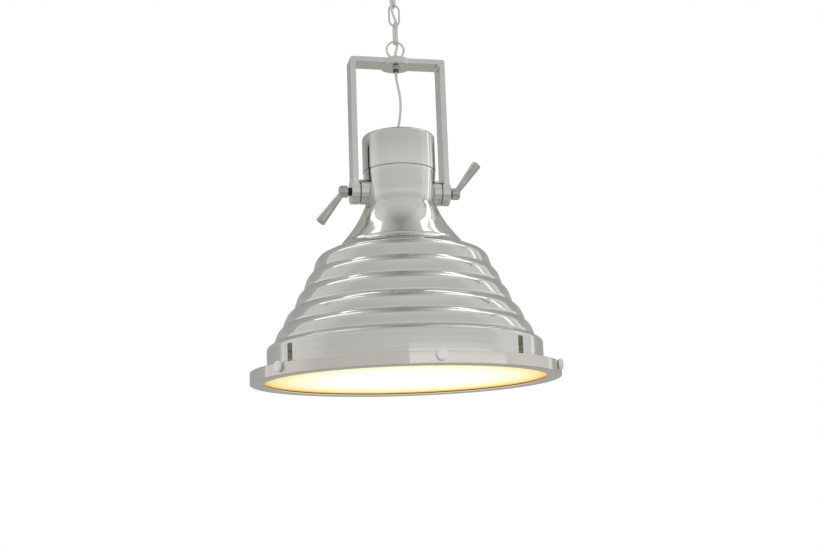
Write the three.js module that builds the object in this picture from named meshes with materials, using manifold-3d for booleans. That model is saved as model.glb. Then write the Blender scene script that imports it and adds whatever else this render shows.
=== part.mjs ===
// An industrial pendant light: a ceiling canopy and hook, a short chain, a flat-bar yoke with two
// clamp levers, and a ribbed metal shade whose lit glass is held by a screwed bezel ring.
// Millimetres, +Z up. The origin is on the ceiling, where the mounting strap bears on it.
import * as THREE from "three";
import { mergeVertices } from "three/addons/utils/BufferGeometryUtils.js";
import Module from "manifold-3d";

const wasm = await Module();
wasm.setup();

// Clearance between pieces that touch, and how far every cutting tool overruns its cut
const clearance = 0.3;
const overrun = 2;

// Facets
const bigSides = 36;
const midSides = 20;
const smallSides = 12;
const cordSides = 8;
const wireSides = 8;
const edgeSteps = 3;
const hexSides = 6;
const ribSteps = 3;
const cornerSteps = 6;
const cordStepDiameters = 2.6;
const straightCordStepDiameters = 12;
const cordLeastSteps = 4;

// Ceiling fitting
const strap = { length: 96, width: 22, thickness: 2.5, bossRadius: 7, bossDepth: 9, slotLength: 14,
  slotWidth: 5, slotInset: 14 };
const canopy = { radius: 60, height: 26, wall: 1.2, edgeRadius: 9, bushX: -16, bushY: -12 };
const collar = { radius: 9, height: 8, chamfer: 1.5 };
const hook = { wire: 5, bowlRadius: 9, drop: 62, threadIn: 7, openingDegrees: 62, startDegrees: 72,
  neck: 5, shankSteps: 5, bowlSteps: 15 };
const bush = { radius: 5, lipRadius: 6.6, lipHeight: 1.5, below: 7, above: 1.2 };
const block = { length: 24, width: 15, height: 10, screwRadius: 2, screwCentre: 6, standOff: 0.3 };

// Chain
const link = { length: 38.5, width: 20, wire: 3.2 };

// Hanging loop with its hollow stem
const loop = { radius: 16, wire: 3.4, collarRadius: 13, collarHeight: 5.5, nippleRadius: 4.4,
  nippleTop: 3.5, shoulderRadius: 8, nippleTipRadius: 3.5, stemRadius: 3.7, stemBelow: 2.5 };
const stemNut = { radius: 7, height: 2.5 };
const yokeGland = { radius: 4.9, height: 4.5, capDepth: 2, tipRadius: 3.7 };

// Cord
const cord = { diameter: 4 };

// Yoke
const yoke = { innerWidth: 138, armThickness: 9, barThickness: 8.5, width: 36, rise: 221.5,
  cornerRadius: 4, innerFillet: 2.5, hubRadius: 20, hubInset: 2.3, hubProud: 2,
  discRadius: 26, discBelow: 2.5 };

// Tilt pivot and clamp levers
const pivot = { aboveShoulder: 84, studRadius: 4.5, studIn: 14, washerThickness: 1,
  washerRadius: 17 };
const lever = { hubRadius: 9.5, hubLength: 14, innerRounding: 2.2, outerRounding: 3.4,
  washerRadius: 6.5, washerThickness: 3.5, reach: 63, rootRadius: 4.3, tipRadius: 7.8,
  tipChamfer: 0.9, angleDegrees: 53 };

// Cap and neck housing
const cap = { radius: 58.4, abovePivot: 33, height: 60, wall: 1.6, edgeRadius: 6 };
const neck = { seamStep: 0.6, waistRadius: 55, waistBelowPivot: 11, footRadius: 95, wall: 2.6,
  spigotHeight: 8, flangeThickness: 3, flangeInner: 52, bossRadius: 20 };
const capGland = { radius: 7, nutHeight: 5, below: 9, threadRadius: 5, tipRadius: 4.3 };

// Ribbed shade
const shade = { wall: 1.5, shoulderHeight: 219, bandRadius: 213.8, bandTop: 58, bandCorner: 7,
  cornerDegrees: 75, ledgeRise: 4, throatRadius: 42, flangeWidth: 22.2, rimHeight: 7.5,
  ribRoundness: 0.75 };
const ribOutShares = [0.387, 0.505, 0.631, 0.783, 0.8965];
const ribUpShares = [0.71, 0.532, 0.343, 0.163, 0];
const shoulderShares = [[0, 1], [0.06, 0.9], [0.15, 0.81], [0.33, 0.755], [0.5, 0.69], [0.63, 0.625],
  [0.72, 0.58], [0.8, 0.505], [0.89, 0.38], [0.95, 0.2], [1, 0]];
const slot = { width: 12.5, bottom: 21, top: 49, atDegrees: [-50.5, -153, 129.5, 27] };

// Bezel ring, gasket, glass and thumb screws
const bezel = { play: 1.5, height: 18, wall: 2.5, lip: 2.5, edge: 1.2 };
const gasket = { thickness: 1.2, width: 11, inset: 1.2 };
const glass = { play: 5.5, thickness: 4, lap: 14 };
const thumb = { count: 6, height: 12, headRadius: 8.2, headLength: 5.4, chamfer: 1, shankRadius: 2,
  firstDegrees: -90 };

// Lampholder and bulb
const plate = { radius: 80, thickness: 2, screwInset: 14 };
const housingScrew = { count: 3, radius: 2, headRadius: 4, headCrownRadius: 3.2, headHeight: 2.6,
  firstDegrees: 30 };
const nipple = { radius: 5, bore: 3.2, above: 12, below: 8 };
const nippleNut = { radius: 8.5, height: 3 };
const holder = { radius: 21, mouthRadius: 24, height: 46, wall: 4, roof: 9 };
const bulb = { capRadius: 13, capLength: 25, contactRadius: 5, envelopeRadius: 30, length: 105,
  wall: 0.8, throatRadius: 12, throatLength: 13, shoulderDegrees: 38, steps: 6 };

// Finishes
const finish = (colour, roughness, metalness, more = {}) =>
  new THREE.MeshStandardMaterial({ color: colour, roughness, metalness, ...more });
const chrome = finish("#c8c9c5", 0.12, 1);
const nickel = finish("#bfc0bb", 0.22, 1);
const darkSteel = finish("#4b4c4b", 0.45, 0.8);
const steel = finish("#a5a6a4", 0.4, 0.9);
const whiteCord = finish("#d9d8d2", 0.4, 0);
const blackPlastic = finish("#26262a", 0.5, 0);
const ceramic = finish("#f1efe8", 0.3, 0);
const brass = finish("#c9a85c", 0.3, 1);
const clearGlass = finish("#fff4dc", 0.1, 0, { transparent: true, opacity: 0.5 });
const opalGlass = finish("#fff6df", 0.35, 0, { emissive: "#ffe2a8", emissiveIntensity: 0.8 });
const rubber = finish("#3a3a3a", 0.7, 0);

const object = new THREE.Group();
const degrees = THREE.MathUtils.degToRad;
const halfTurn = 180;
const half = (size) => size / 2;

// Geometry and solids

function solidOf(geometry) {
  const bare = geometry.index ? geometry.toNonIndexed() : geometry.clone();
  for (const name of Object.keys(bare.attributes)) if (name !== "position") bare.deleteAttribute(name);
  const merged = mergeVertices(bare);
  const corners = [];
  const index = merged.index.array;
  for (let i = 0; i < index.length; i += 3) {
    const [a, b, c] = index.slice(i, i + 3);
    if (a !== b && b !== c && c !== a) corners.push(a, b, c);
  }
  return new wasm.Manifold(new wasm.Mesh({
    numProp: 3,
    vertProperties: merged.attributes.position.array,
    triVerts: new Uint32Array(corners),
  }));
}

function geometryOf(solid) {
  const mesh = solid.getMesh();
  const geometry = new THREE.BufferGeometry();
  geometry.setAttribute("position", new THREE.BufferAttribute(new Float32Array(mesh.vertProperties), 3));
  geometry.setIndex(new THREE.BufferAttribute(new Uint32Array(mesh.triVerts), 1));
  const flat = geometry.toNonIndexed();
  flat.computeVertexNormals();
  return flat;
}

const joined = (first, ...others) =>
  geometryOf(others.reduce((whole, piece) => whole.add(solidOf(piece)), solidOf(first)));
const cut = (first, ...tools) =>
  geometryOf(tools.reduce((whole, tool) => whole.subtract(solidOf(tool)), solidOf(first)));

// Turns an outline of [radius, height] pairs round the Z axis. It closes on itself unless both of
// its ends are on the axis.
function turned(outline, sides) {
  const points = outline.map(([r, z]) => new THREE.Vector2(r, z));
  if (outline[0][0] > 0 || outline.at(-1)[0] > 0) points.push(points[0].clone());
  if (THREE.ShapeUtils.isClockWise(points)) points.reverse();
  return new THREE.LatheGeometry(points, sides).rotateX(Math.PI / 2);
}

// Points [radius, height] along an arc
function quarter(centreR, centreZ, radius, fromDegrees, toDegrees, steps) {
  return Array.from({ length: steps + 1 }, (unused, i) => {
    const angle = degrees(fromDegrees + ((toDegrees - fromDegrees) * i) / steps);
    return [centreR + radius * Math.cos(angle), centreZ + radius * Math.sin(angle)];
  });
}

const disc = (radius, low, high, sides) =>
  turned([[0, low], [radius, low], [radius, high], [0, high]], sides);
const tube = (inner, outer, low, high, sides) =>
  turned([[inner, low], [outer, low], [outer, high], [inner, high]], sides);

const hexNut = (bore, radius, low, high) =>
  cut(disc(radius, low, high, hexSides), disc(bore, low - overrun, high + overrun, smallSides));

// A disc or tube along X, with low and high counted along X
const alongX = (geometry) => geometry.rotateY(Math.PI / 2);

const box = (x, y, z) => new THREE.BoxGeometry(x, y, z);

function circleOutline(radius, sides) {
  const outline = new THREE.Shape();
  for (let i = 0; i < sides; i += 1) {
    const angle = (i * 2 * Math.PI) / sides;
    const [x, y] = [radius * Math.cos(angle), radius * Math.sin(angle)];
    if (i) outline.lineTo(x, y);
    else outline.moveTo(x, y);
  }
  outline.closePath();
  return outline;
}

const swept = (curve, radius, sides, steps) =>
  new THREE.ExtrudeGeometry(circleOutline(radius, sides),
    { extrudePath: curve, steps, bevelEnabled: false });

// A round wire along a closed flat loop in the XZ plane, given as [x, z] pairs
function wireLoop(points, wire, sides) {
  const at = (list, i) => list[(i + list.length) % list.length];
  const position = [];
  const index = [];
  points.forEach(([x, z], i) => {
    const [before, after] = [at(points, i - 1), at(points, i + 1)];
    const along = new THREE.Vector2(after[0] - before[0], after[1] - before[1]).normalize();
    for (let k = 0; k < sides; k += 1) {
      const angle = (k * 2 * Math.PI) / sides;
      const [out, side] = [half(wire) * Math.cos(angle), half(wire) * Math.sin(angle)];
      position.push(x + along.y * out, side, z - along.x * out);
      const [a, b] = [i * sides + k, i * sides + ((k + 1) % sides)];
      const next = ((i + 1) % points.length) * sides;
      const [c, d] = [next + k, next + ((k + 1) % sides)];
      index.push(a, b, c, b, d, c);
    }
  });
  const geometry = new THREE.BufferGeometry();
  geometry.setAttribute("position", new THREE.Float32BufferAttribute(position, 3));
  geometry.setIndex(index);
  return geometry;
}

function circlePoints(radius, centreZ, count) {
  return Array.from({ length: count }, (unused, i) => {
    const angle = (i * 2 * Math.PI) / count;
    return [radius * Math.cos(angle), centreZ + radius * Math.sin(angle)];
  });
}

function add(name, geometry, material, parent = object) {
  const mesh = new THREE.Mesh(geometry, material);
  mesh.name = name;
  parent.add(mesh);
  return mesh;
}

// Heights from the ceiling down to the hanging loop

const hookSeatZ = -hook.drop;
const linkReach = link.length - link.wire;
const ontoWire = (upperZ, upperWire, lowerWire) => upperZ + half(upperWire + lowerWire) + clearance;
const linkTopZ = [];
const linkLowZ = [];
for (let i = 0; i < 3; i += 1) {
  const above = i ? linkLowZ[i - 1] : hookSeatZ;
  linkTopZ.push(ontoWire(above, i ? link.wire : hook.wire, link.wire));
  linkLowZ.push(linkTopZ[i] - linkReach);
}
const loopMidRadius = loop.radius - half(loop.wire);
const loopZ = ontoWire(linkLowZ[2], link.wire, loop.wire) - loopMidRadius;
const loopBaseZ = loopZ - loopMidRadius;
const yokeTopZ = loopBaseZ - loop.collarHeight;

// Heights of the lamp are counted from the bezel's bottom
const pivotZ = shade.shoulderHeight + pivot.aboveShoulder;
const yokeTop = pivotZ + yoke.rise;
const lampZ = yokeTopZ - yokeTop;
const lamp = new THREE.Group();
lamp.position.z = lampZ;
object.add(lamp);

// Ceiling fitting

function ceilingFitting() {
  const slots = [-1, 1].map((side) => {
    const slotShape = new THREE.Shape();
    const straight = half(strap.slotLength - strap.slotWidth);
    slotShape.absarc(straight, 0, half(strap.slotWidth), -Math.PI / 2, Math.PI / 2);
    slotShape.absarc(-straight, 0, half(strap.slotWidth), Math.PI / 2, (3 * Math.PI) / 2);
    const depth = strap.thickness + 2 * overrun;
    return new THREE.ExtrudeGeometry(slotShape, { depth, bevelEnabled: false, curveSegments: cornerSteps })
      .translate(side * (half(strap.length) - strap.slotInset), 0, -strap.thickness - overrun);
  });
  const bar = box(strap.length, strap.width, strap.thickness).translate(0, 0, -half(strap.thickness));
  const boss = disc(strap.bossRadius, -strap.bossDepth, -half(strap.thickness), midSides);
  const bore = disc(half(hook.wire) + clearance, -strap.bossDepth - overrun,
    -strap.bossDepth + hook.threadIn + clearance, smallSides);
  add("ceiling_strap", cut(joined(bar, boss), bore, ...slots), steel);

  const inner = canopy.radius - canopy.wall;
  const low = -canopy.height;
  const edgeR = canopy.radius - canopy.edgeRadius;
  const edgeZ = low + canopy.edgeRadius;
  const shell = turned([
    [canopy.radius, 0],
    ...quarter(edgeR, edgeZ, canopy.edgeRadius, 0, -90, edgeSteps),
    [0, low], [0, low + canopy.wall],
    ...quarter(edgeR, edgeZ, canopy.edgeRadius - canopy.wall, -90, 0, edgeSteps),
    [inner, 0],
  ], bigSides);
  const hookHole = disc(half(hook.wire) + clearance, low - overrun, low + overrun, smallSides);
  const bushHole = disc(bush.radius + clearance, low - overrun, low + overrun, smallSides)
    .translate(canopy.bushX, canopy.bushY, 0);
  add("canopy", cut(shell, hookHole, bushHole), chrome);

  const collarTop = low - clearance;
  const collarBore = half(hook.wire) + clearance;
  add("canopy_collar", turned([
    [collarBore, collarTop - collar.height],
    [collar.radius - collar.chamfer, collarTop - collar.height],
    [collar.radius, collarTop - collar.height + collar.chamfer],
    [collar.radius, collarTop - collar.chamfer],
    [collar.radius - collar.chamfer, collarTop],
    [collarBore, collarTop],
  ], midSides), chrome);

  const bushBore = half(cord.diameter) + clearance;
  add("canopy_cord_bush", turned([
    [bushBore, low - bush.below],
    [bush.radius - clearance * 2, low - bush.below],
    [bush.lipRadius, low - clearance - bush.lipHeight],
    [bush.lipRadius, low - clearance],
    [bush.radius, low - clearance],
    [bush.radius, low + canopy.wall + bush.above],
    [bushBore, low + canopy.wall + bush.above],
  ], smallSides).translate(canopy.bushX, canopy.bushY, 0), blackPlastic);

  const blockTop = -strap.thickness - block.standOff;
  const blockX = strap.bossRadius + clearance * 2 + half(block.length);
  const wells = [-1, 1].map((side) =>
    disc(block.screwRadius, blockTop - block.height - overrun, blockTop - half(block.height), smallSides)
      .translate(blockX + side * block.screwCentre, 0, 0));
  const body = box(block.length, block.width, block.height)
    .translate(blockX, 0, blockTop - half(block.height));
  add("terminal_block", cut(body, ...wells), blackPlastic);
}

function ceilingHook() {
  const bowlZ = hookSeatZ + hook.bowlRadius;
  const neckZ = bowlZ + hook.bowlRadius + hook.neck;
  const topZ = -strap.bossDepth + hook.threadIn;
  const points = Array.from({ length: hook.shankSteps + 1 }, (unused, i) =>
    new THREE.Vector3(0, 0, topZ + ((neckZ - topZ) * i) / hook.shankSteps));
  const sweep = 360 - hook.openingDegrees;
  for (let i = 0; i <= hook.bowlSteps; i += 1) {
    const angle = degrees(hook.startDegrees - (sweep * i) / hook.bowlSteps);
    points.push(new THREE.Vector3(hook.bowlRadius * Math.cos(angle), 0,
      bowlZ + hook.bowlRadius * Math.sin(angle)));
  }
  const curve = new THREE.CatmullRomCurve3(points, false, "centripetal");
  add("ceiling_hook", swept(curve, half(hook.wire), wireSides, 2 * hook.bowlSteps), chrome);
}

// Chain

function chainLinks() {
  const bendRadius = half(link.width - link.wire);
  const straight = half(linkReach) - bendRadius;
  const points = [];
  for (const [centreZ, start] of [[straight, 0], [-straight, halfTurn]]) {
    for (let i = 0; i <= cornerSteps; i += 1) {
      const angle = degrees(start + (halfTurn * i) / cornerSteps);
      points.push([bendRadius * Math.cos(angle), centreZ + bendRadius * Math.sin(angle)]);
    }
  }
  ["link_top", "link_middle", "link_lower"].forEach((name, i) => {
    const mesh = add(name, wireLoop(points, link.wire, wireSides), chrome);
    mesh.position.z = half(linkTopZ[i] + linkLowZ[i]);
    mesh.rotation.z = i === 1 ? 0 : Math.PI / 2;
  });
}

// Hanging loop, nut and gland on the yoke

const boreRadius = half(cord.diameter) + clearance;
const yokeBarLowZ = yokeTopZ - yoke.barThickness;
const discLowZ = yokeBarLowZ - yoke.discBelow;
const nutLowZ = discLowZ - clearance - stemNut.height;
const glandLowZ = nutLowZ - clearance - yokeGland.height;
const stemLowZ = nutLowZ - loop.stemBelow;
const nippleTopZ = loopBaseZ + half(loop.wire) + loop.nippleTop;

function hangingLoop() {
  const ring = wireLoop(circlePoints(loopMidRadius, loopZ, midSides), loop.wire, wireSides);
  const base = turned([
    [0, stemLowZ], [loop.stemRadius, stemLowZ],
    [loop.stemRadius, yokeTopZ + clearance],
    [loop.collarRadius, yokeTopZ + clearance],
    [loop.collarRadius, loopBaseZ - half(loop.wire) - clearance],
    [loop.shoulderRadius, loopBaseZ],
    [loop.nippleRadius, loopBaseZ + half(loop.wire)],
    [loop.nippleTipRadius, nippleTopZ], [0, nippleTopZ],
  ], midSides);
  const wireWay = disc(boreRadius, stemLowZ - overrun, nippleTopZ + overrun, smallSides);
  add("hanging_loop", cut(joined(ring, base), wireWay), chrome);

  const nutBore = loop.stemRadius + clearance;
  add("stem_nut", hexNut(nutBore, stemNut.radius, nutLowZ, nutLowZ + stemNut.height), nickel);
  const glandTop = nutLowZ - clearance;
  const capTop = glandTop - yokeGland.height + yokeGland.capDepth;
  add("yoke_cord_gland", turned([
    [boreRadius, glandLowZ],
    [yokeGland.tipRadius, glandLowZ],
    [yokeGland.radius, glandLowZ + half(yokeGland.capDepth)],
    [yokeGland.radius, glandTop],
    [nutBore, glandTop],
    [nutBore, Math.min(stemLowZ - clearance, capTop)],
    [boreRadius, Math.min(stemLowZ - clearance, capTop)],
  ], smallSides), blackPlastic);
}

// Yoke: a flat bar bent to a U, with a hub at the foot of each arm and a disc under the loop

const armInner = half(yoke.innerWidth);
const armOuter = armInner + yoke.armThickness;
const hubInner = armInner - yoke.hubInset;
const hubOuter = armOuter + yoke.hubProud;

function yokeFrame() {
  const inside = yoke.rise - yoke.barThickness;
  const { cornerRadius: big, innerFillet: small } = yoke;
  const outline = new THREE.Shape();
  outline.moveTo(-armOuter, 0);
  outline.lineTo(-armInner, 0);
  outline.lineTo(-armInner, inside - small);
  outline.absarc(-armInner + small, inside - small, small, Math.PI, Math.PI / 2, true);
  outline.lineTo(armInner - small, inside);
  outline.absarc(armInner - small, inside - small, small, Math.PI / 2, 0, true);
  outline.lineTo(armInner, 0);
  outline.lineTo(armOuter, 0);
  outline.lineTo(armOuter, yoke.rise - big);
  outline.absarc(armOuter - big, yoke.rise - big, big, 0, Math.PI / 2, false);
  outline.lineTo(-armOuter + big, yoke.rise);
  outline.absarc(-armOuter + big, yoke.rise - big, big, Math.PI / 2, Math.PI, false);
  outline.closePath();
  const bar = new THREE.ExtrudeGeometry(outline,
    { depth: yoke.width, bevelEnabled: false, curveSegments: cornerSteps })
    .rotateX(Math.PI / 2)
    .translate(0, half(yoke.width), 0);
  const bores = alongX(disc(pivot.studRadius + clearance, -hubOuter - overrun, hubOuter + overrun,
    smallSides));
  const boss = disc(yoke.discRadius, yoke.rise - yoke.barThickness - yoke.discBelow, yoke.rise,
    midSides);
  const stemHole = disc(loop.stemRadius + clearance, inside - yoke.discBelow - overrun,
    yoke.rise + overrun, smallSides);
  const hubSolids = [-1, 1].map((side) => {
    const low = side > 0 ? hubInner : -hubOuter;
    const high = side > 0 ? hubOuter : -hubInner;
    return alongX(disc(yoke.hubRadius, low, high, midSides));
  });
  add("yoke_frame", cut(joined(bar, ...hubSolids, boss), bores, stemHole), chrome, lamp)
    .position.z = pivotZ;
}

// Clamp levers, studs and washers on the tilt pivot

const washerInner = hubOuter + clearance;
const leverInner = washerInner + lever.washerThickness + clearance;
const leverCentre = leverInner + half(lever.hubLength);
const bossOuter = hubInner - pivot.washerThickness - 2 * clearance;

function clampSide(name, side, rise) {
  const group = new THREE.Group();
  group.position.set(0, 0, pivotZ);
  group.rotation.z = side > 0 ? 0 : Math.PI;
  lamp.add(group);
  const bore = pivot.studRadius + clearance;
  add("pivot_washer_" + name, alongX(tube(bore, pivot.washerRadius, bossOuter + clearance,
    bossOuter + clearance + pivot.washerThickness, midSides)), blackPlastic, group);
  add("clamp_washer_" + name, alongX(tube(bore, lever.washerRadius, washerInner,
    washerInner + lever.washerThickness, smallSides)), darkSteel, group);
  const studEnd = leverCentre;
  add("clamp_stud_" + name, alongX(disc(pivot.studRadius, bossOuter - pivot.studIn, studEnd,
    smallSides)), darkSteel, group);

  const hub = alongX(turned([
    [0, leverInner], [lever.hubRadius - lever.innerRounding, leverInner],
    [lever.hubRadius, leverInner + lever.innerRounding],
    [lever.hubRadius, leverInner + lever.hubLength - lever.outerRounding],
    [lever.hubRadius - lever.outerRounding, leverInner + lever.hubLength],
    [0, leverInner + lever.hubLength],
  ], midSides));
  const rod = turned([
    [0, 0], [lever.rootRadius, 0],
    [lever.tipRadius, lever.reach - lever.tipChamfer],
    [lever.tipRadius - lever.tipChamfer, lever.reach],
    [0, lever.reach],
  ], smallSides)
    .rotateY(Math.PI / 2 - degrees(rise))
    .translate(leverCentre, 0, 0);
  const studHole = alongX(disc(bore, leverInner - overrun, studEnd + clearance, smallSides));
  add("clamp_lever_" + name, cut(joined(hub, rod), studHole), chrome, group);
}

// Cap and neck housing

const capLow = pivotZ + cap.abovePivot;
const capTop = capLow + cap.height;

function topCap() {
  const inner = cap.radius - cap.wall;
  const edge = cap.edgeRadius;
  const shell = turned([
    [inner, capLow], [cap.radius, capLow],
    ...quarter(cap.radius - edge, capTop - edge, edge, 0, 90, edgeSteps),
    [capGland.threadRadius + clearance, capTop],
    [capGland.threadRadius + clearance, capTop - cap.wall],
    ...quarter(cap.radius - edge, capTop - edge, edge - cap.wall, 90, 0, edgeSteps),
  ], bigSides);
  add("top_cap", shell, chrome, lamp);
  add("cap_cord_gland", turned([
    [boreRadius, capTop - capGland.below],
    [capGland.threadRadius, capTop - capGland.below],
    [capGland.threadRadius, capTop + clearance],
    [capGland.radius, capTop + clearance],
    [capGland.radius, capTop + half(capGland.nutHeight)],
    [capGland.tipRadius, capTop + clearance + capGland.nutHeight],
    [boreRadius, capTop + clearance + capGland.nutHeight],
  ], smallSides), blackPlastic, lamp);
}

const footZ = shade.shoulderHeight;
const flareShares = [[0.015, 0.87], [0.12, 0.75], [0.22, 0.62], [0.36, 0.49], [0.515, 0.353],
  [0.7, 0.216], [0.91, 0.082], [1, 0]];

function neckOuter() {
  const seamZ = capLow - clearance;
  const waistZ = pivotZ - neck.waistBelowPivot;
  const topRadius = cap.radius - neck.seamStep;
  const upper = [[topRadius, seamZ], [topRadius, seamZ - half(cap.edgeRadius)],
    [half(topRadius + neck.waistRadius), half(seamZ + waistZ)],
    [neck.waistRadius, waistZ]];
  const flare = flareShares.map(([out, up]) => [
    neck.waistRadius + out * (neck.footRadius - neck.waistRadius),
    footZ + up * (waistZ - footZ),
  ]);
  return [...upper, ...flare];
}

function neckHousing() {
  const outer = neckOuter();
  const thin = (r) => r - neck.wall;
  const flangeTop = footZ + neck.flangeThickness;
  const inner = outer.filter(([, z], i) => i % 2 && z > flangeTop + neck.wall && z < outer[1][1])
    .map(([r, z]) => [thin(r), z]);
  const spigot = cap.radius - cap.wall - clearance;
  const spigotTop = capLow + neck.spigotHeight;
  const foot = outer[outer.length - 1][0];
  const shell = turned([
    [neck.flangeInner, footZ], [foot, footZ],
    ...outer.slice(0, -1).reverse(),
    [spigot, capLow - clearance], [spigot, spigotTop],
    [thin(spigot), spigotTop],
    [thin(spigot), outer[1][1]],
    ...inner,
    [thin(foot) - neck.wall, flangeTop], [neck.flangeInner, flangeTop],
  ], bigSides);
  const inside = neck.waistRadius - neck.wall;
  const bosses = [-1, 1].map((side) => {
    const [low, high] = side > 0 ? [inside, bossOuter] : [-bossOuter, -inside];
    return alongX(disc(neck.bossRadius, low, high, midSides)).translate(0, 0, pivotZ);
  });
  const hollow = disc(inside - clearance, pivotZ - neck.bossRadius - overrun,
    pivotZ + neck.bossRadius + overrun, bigSides);
  const bore = alongX(disc(pivot.studRadius + clearance, -bossOuter - overrun, bossOuter + overrun,
    smallSides)).translate(0, 0, pivotZ);
  const holes = housingScrewPlaces().map(([x, y]) =>
    disc(housingScrew.radius + clearance, footZ - overrun,
      footZ + neck.flangeThickness - clearance, smallSides).translate(x, y, 0));
  const whole = joined(shell, ...bosses);
  add("neck_housing", cut(whole, hollow, bore, ...holes), chrome, lamp);
}

// Ribbed shade

const ledgeZ = shade.bandTop + shade.ledgeRise;
const flangeRadius = shade.bandRadius + shade.flangeWidth;
const ribRadii = ribOutShares.map((share) =>
  neck.footRadius + share * (shade.bandRadius - neck.footRadius));
const ribHeights = ribUpShares.map((share) => ledgeZ + share * (shade.shoulderHeight - ledgeZ));

// The rounded side of one rib: it leaves the valley above sloping out and ends upright
function ribSide(fromR, fromZ, toR, toZ, steps) {
  return Array.from({ length: steps }, (unused, i) => {
    const share = (i + 1) / steps;
    const out = Math.sin((share * Math.PI) / 2) ** shade.ribRoundness;
    return [fromR + out * (toR - fromR), fromZ + share * (toZ - fromZ)];
  });
}

function shadeSide(steps, inset) {
  const topR = neck.footRadius;
  const topZ = shade.shoulderHeight - clearance;
  const points = shoulderShares.map(([out, up]) => [
    topR + out * (ribRadii[0] - topR), ribHeights[0] + up * (topZ - ribHeights[0])]);
  for (let i = 1; i < ribRadii.length; i += 1) {
    points.push(...ribSide(ribRadii[i - 1], ribHeights[i - 1], ribRadii[i], ribHeights[i], steps));
  }
  const corner = shade.bandCorner;
  points.push(...quarter(shade.bandRadius - corner, shade.bandTop - corner, corner,
    shade.cornerDegrees, 0, edgeSteps));
  return points.map(([r, z], i) => [r - inset, z - (i ? half(inset) : inset)]);
}

const lipTop = bezel.lip;
const gasketLow = lipTop + clearance;
const glassLow = gasketLow + gasket.thickness + clearance;
const glassTop = glassLow + glass.thickness;
const flangeLow = glassTop + clearance;

function housingScrewPlaces() {
  return Array.from({ length: housingScrew.count }, (unused, i) => {
    const angle = degrees(housingScrew.firstDegrees + (360 * i) / housingScrew.count);
    const circle = plate.radius - plate.screwInset;
    return [circle * Math.cos(angle), circle * Math.sin(angle)];
  });
}

function ribbedShade() {
  const wall = shade.wall;
  const outer = shadeSide(ribSteps, 0);
  const inner = shadeSide(1, wall);
  const roof = outer[0][1];
  const shell = turned([
    [shade.throatRadius, roof], ...outer,
    [shade.bandRadius, flangeLow + wall],
    [flangeRadius - wall, flangeLow + wall],
    [flangeRadius - wall, flangeLow + shade.rimHeight],
    [flangeRadius, flangeLow + shade.rimHeight],
    [flangeRadius, flangeLow],
    [shade.bandRadius - wall, flangeLow],
    ...inner.reverse(),
    [shade.throatRadius, roof - wall],
  ], bigSides);
  const slotHeight = slot.top - slot.bottom;
  const slots = slot.atDegrees.map((angle) =>
    box(shade.wall + 4 * overrun, slot.width, slotHeight)
      .translate(shade.bandRadius, 0, half(slot.top + slot.bottom))
      .rotateZ(degrees(angle)));
  const holes = housingScrewPlaces().map(([x, y]) =>
    disc(housingScrew.radius + clearance, roof - wall - overrun, roof + overrun, smallSides)
      .translate(x, y, 0));
  add("ribbed_shade", cut(shell, ...slots, ...holes), chrome, lamp);
}

// Lampholder and bulb

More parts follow.
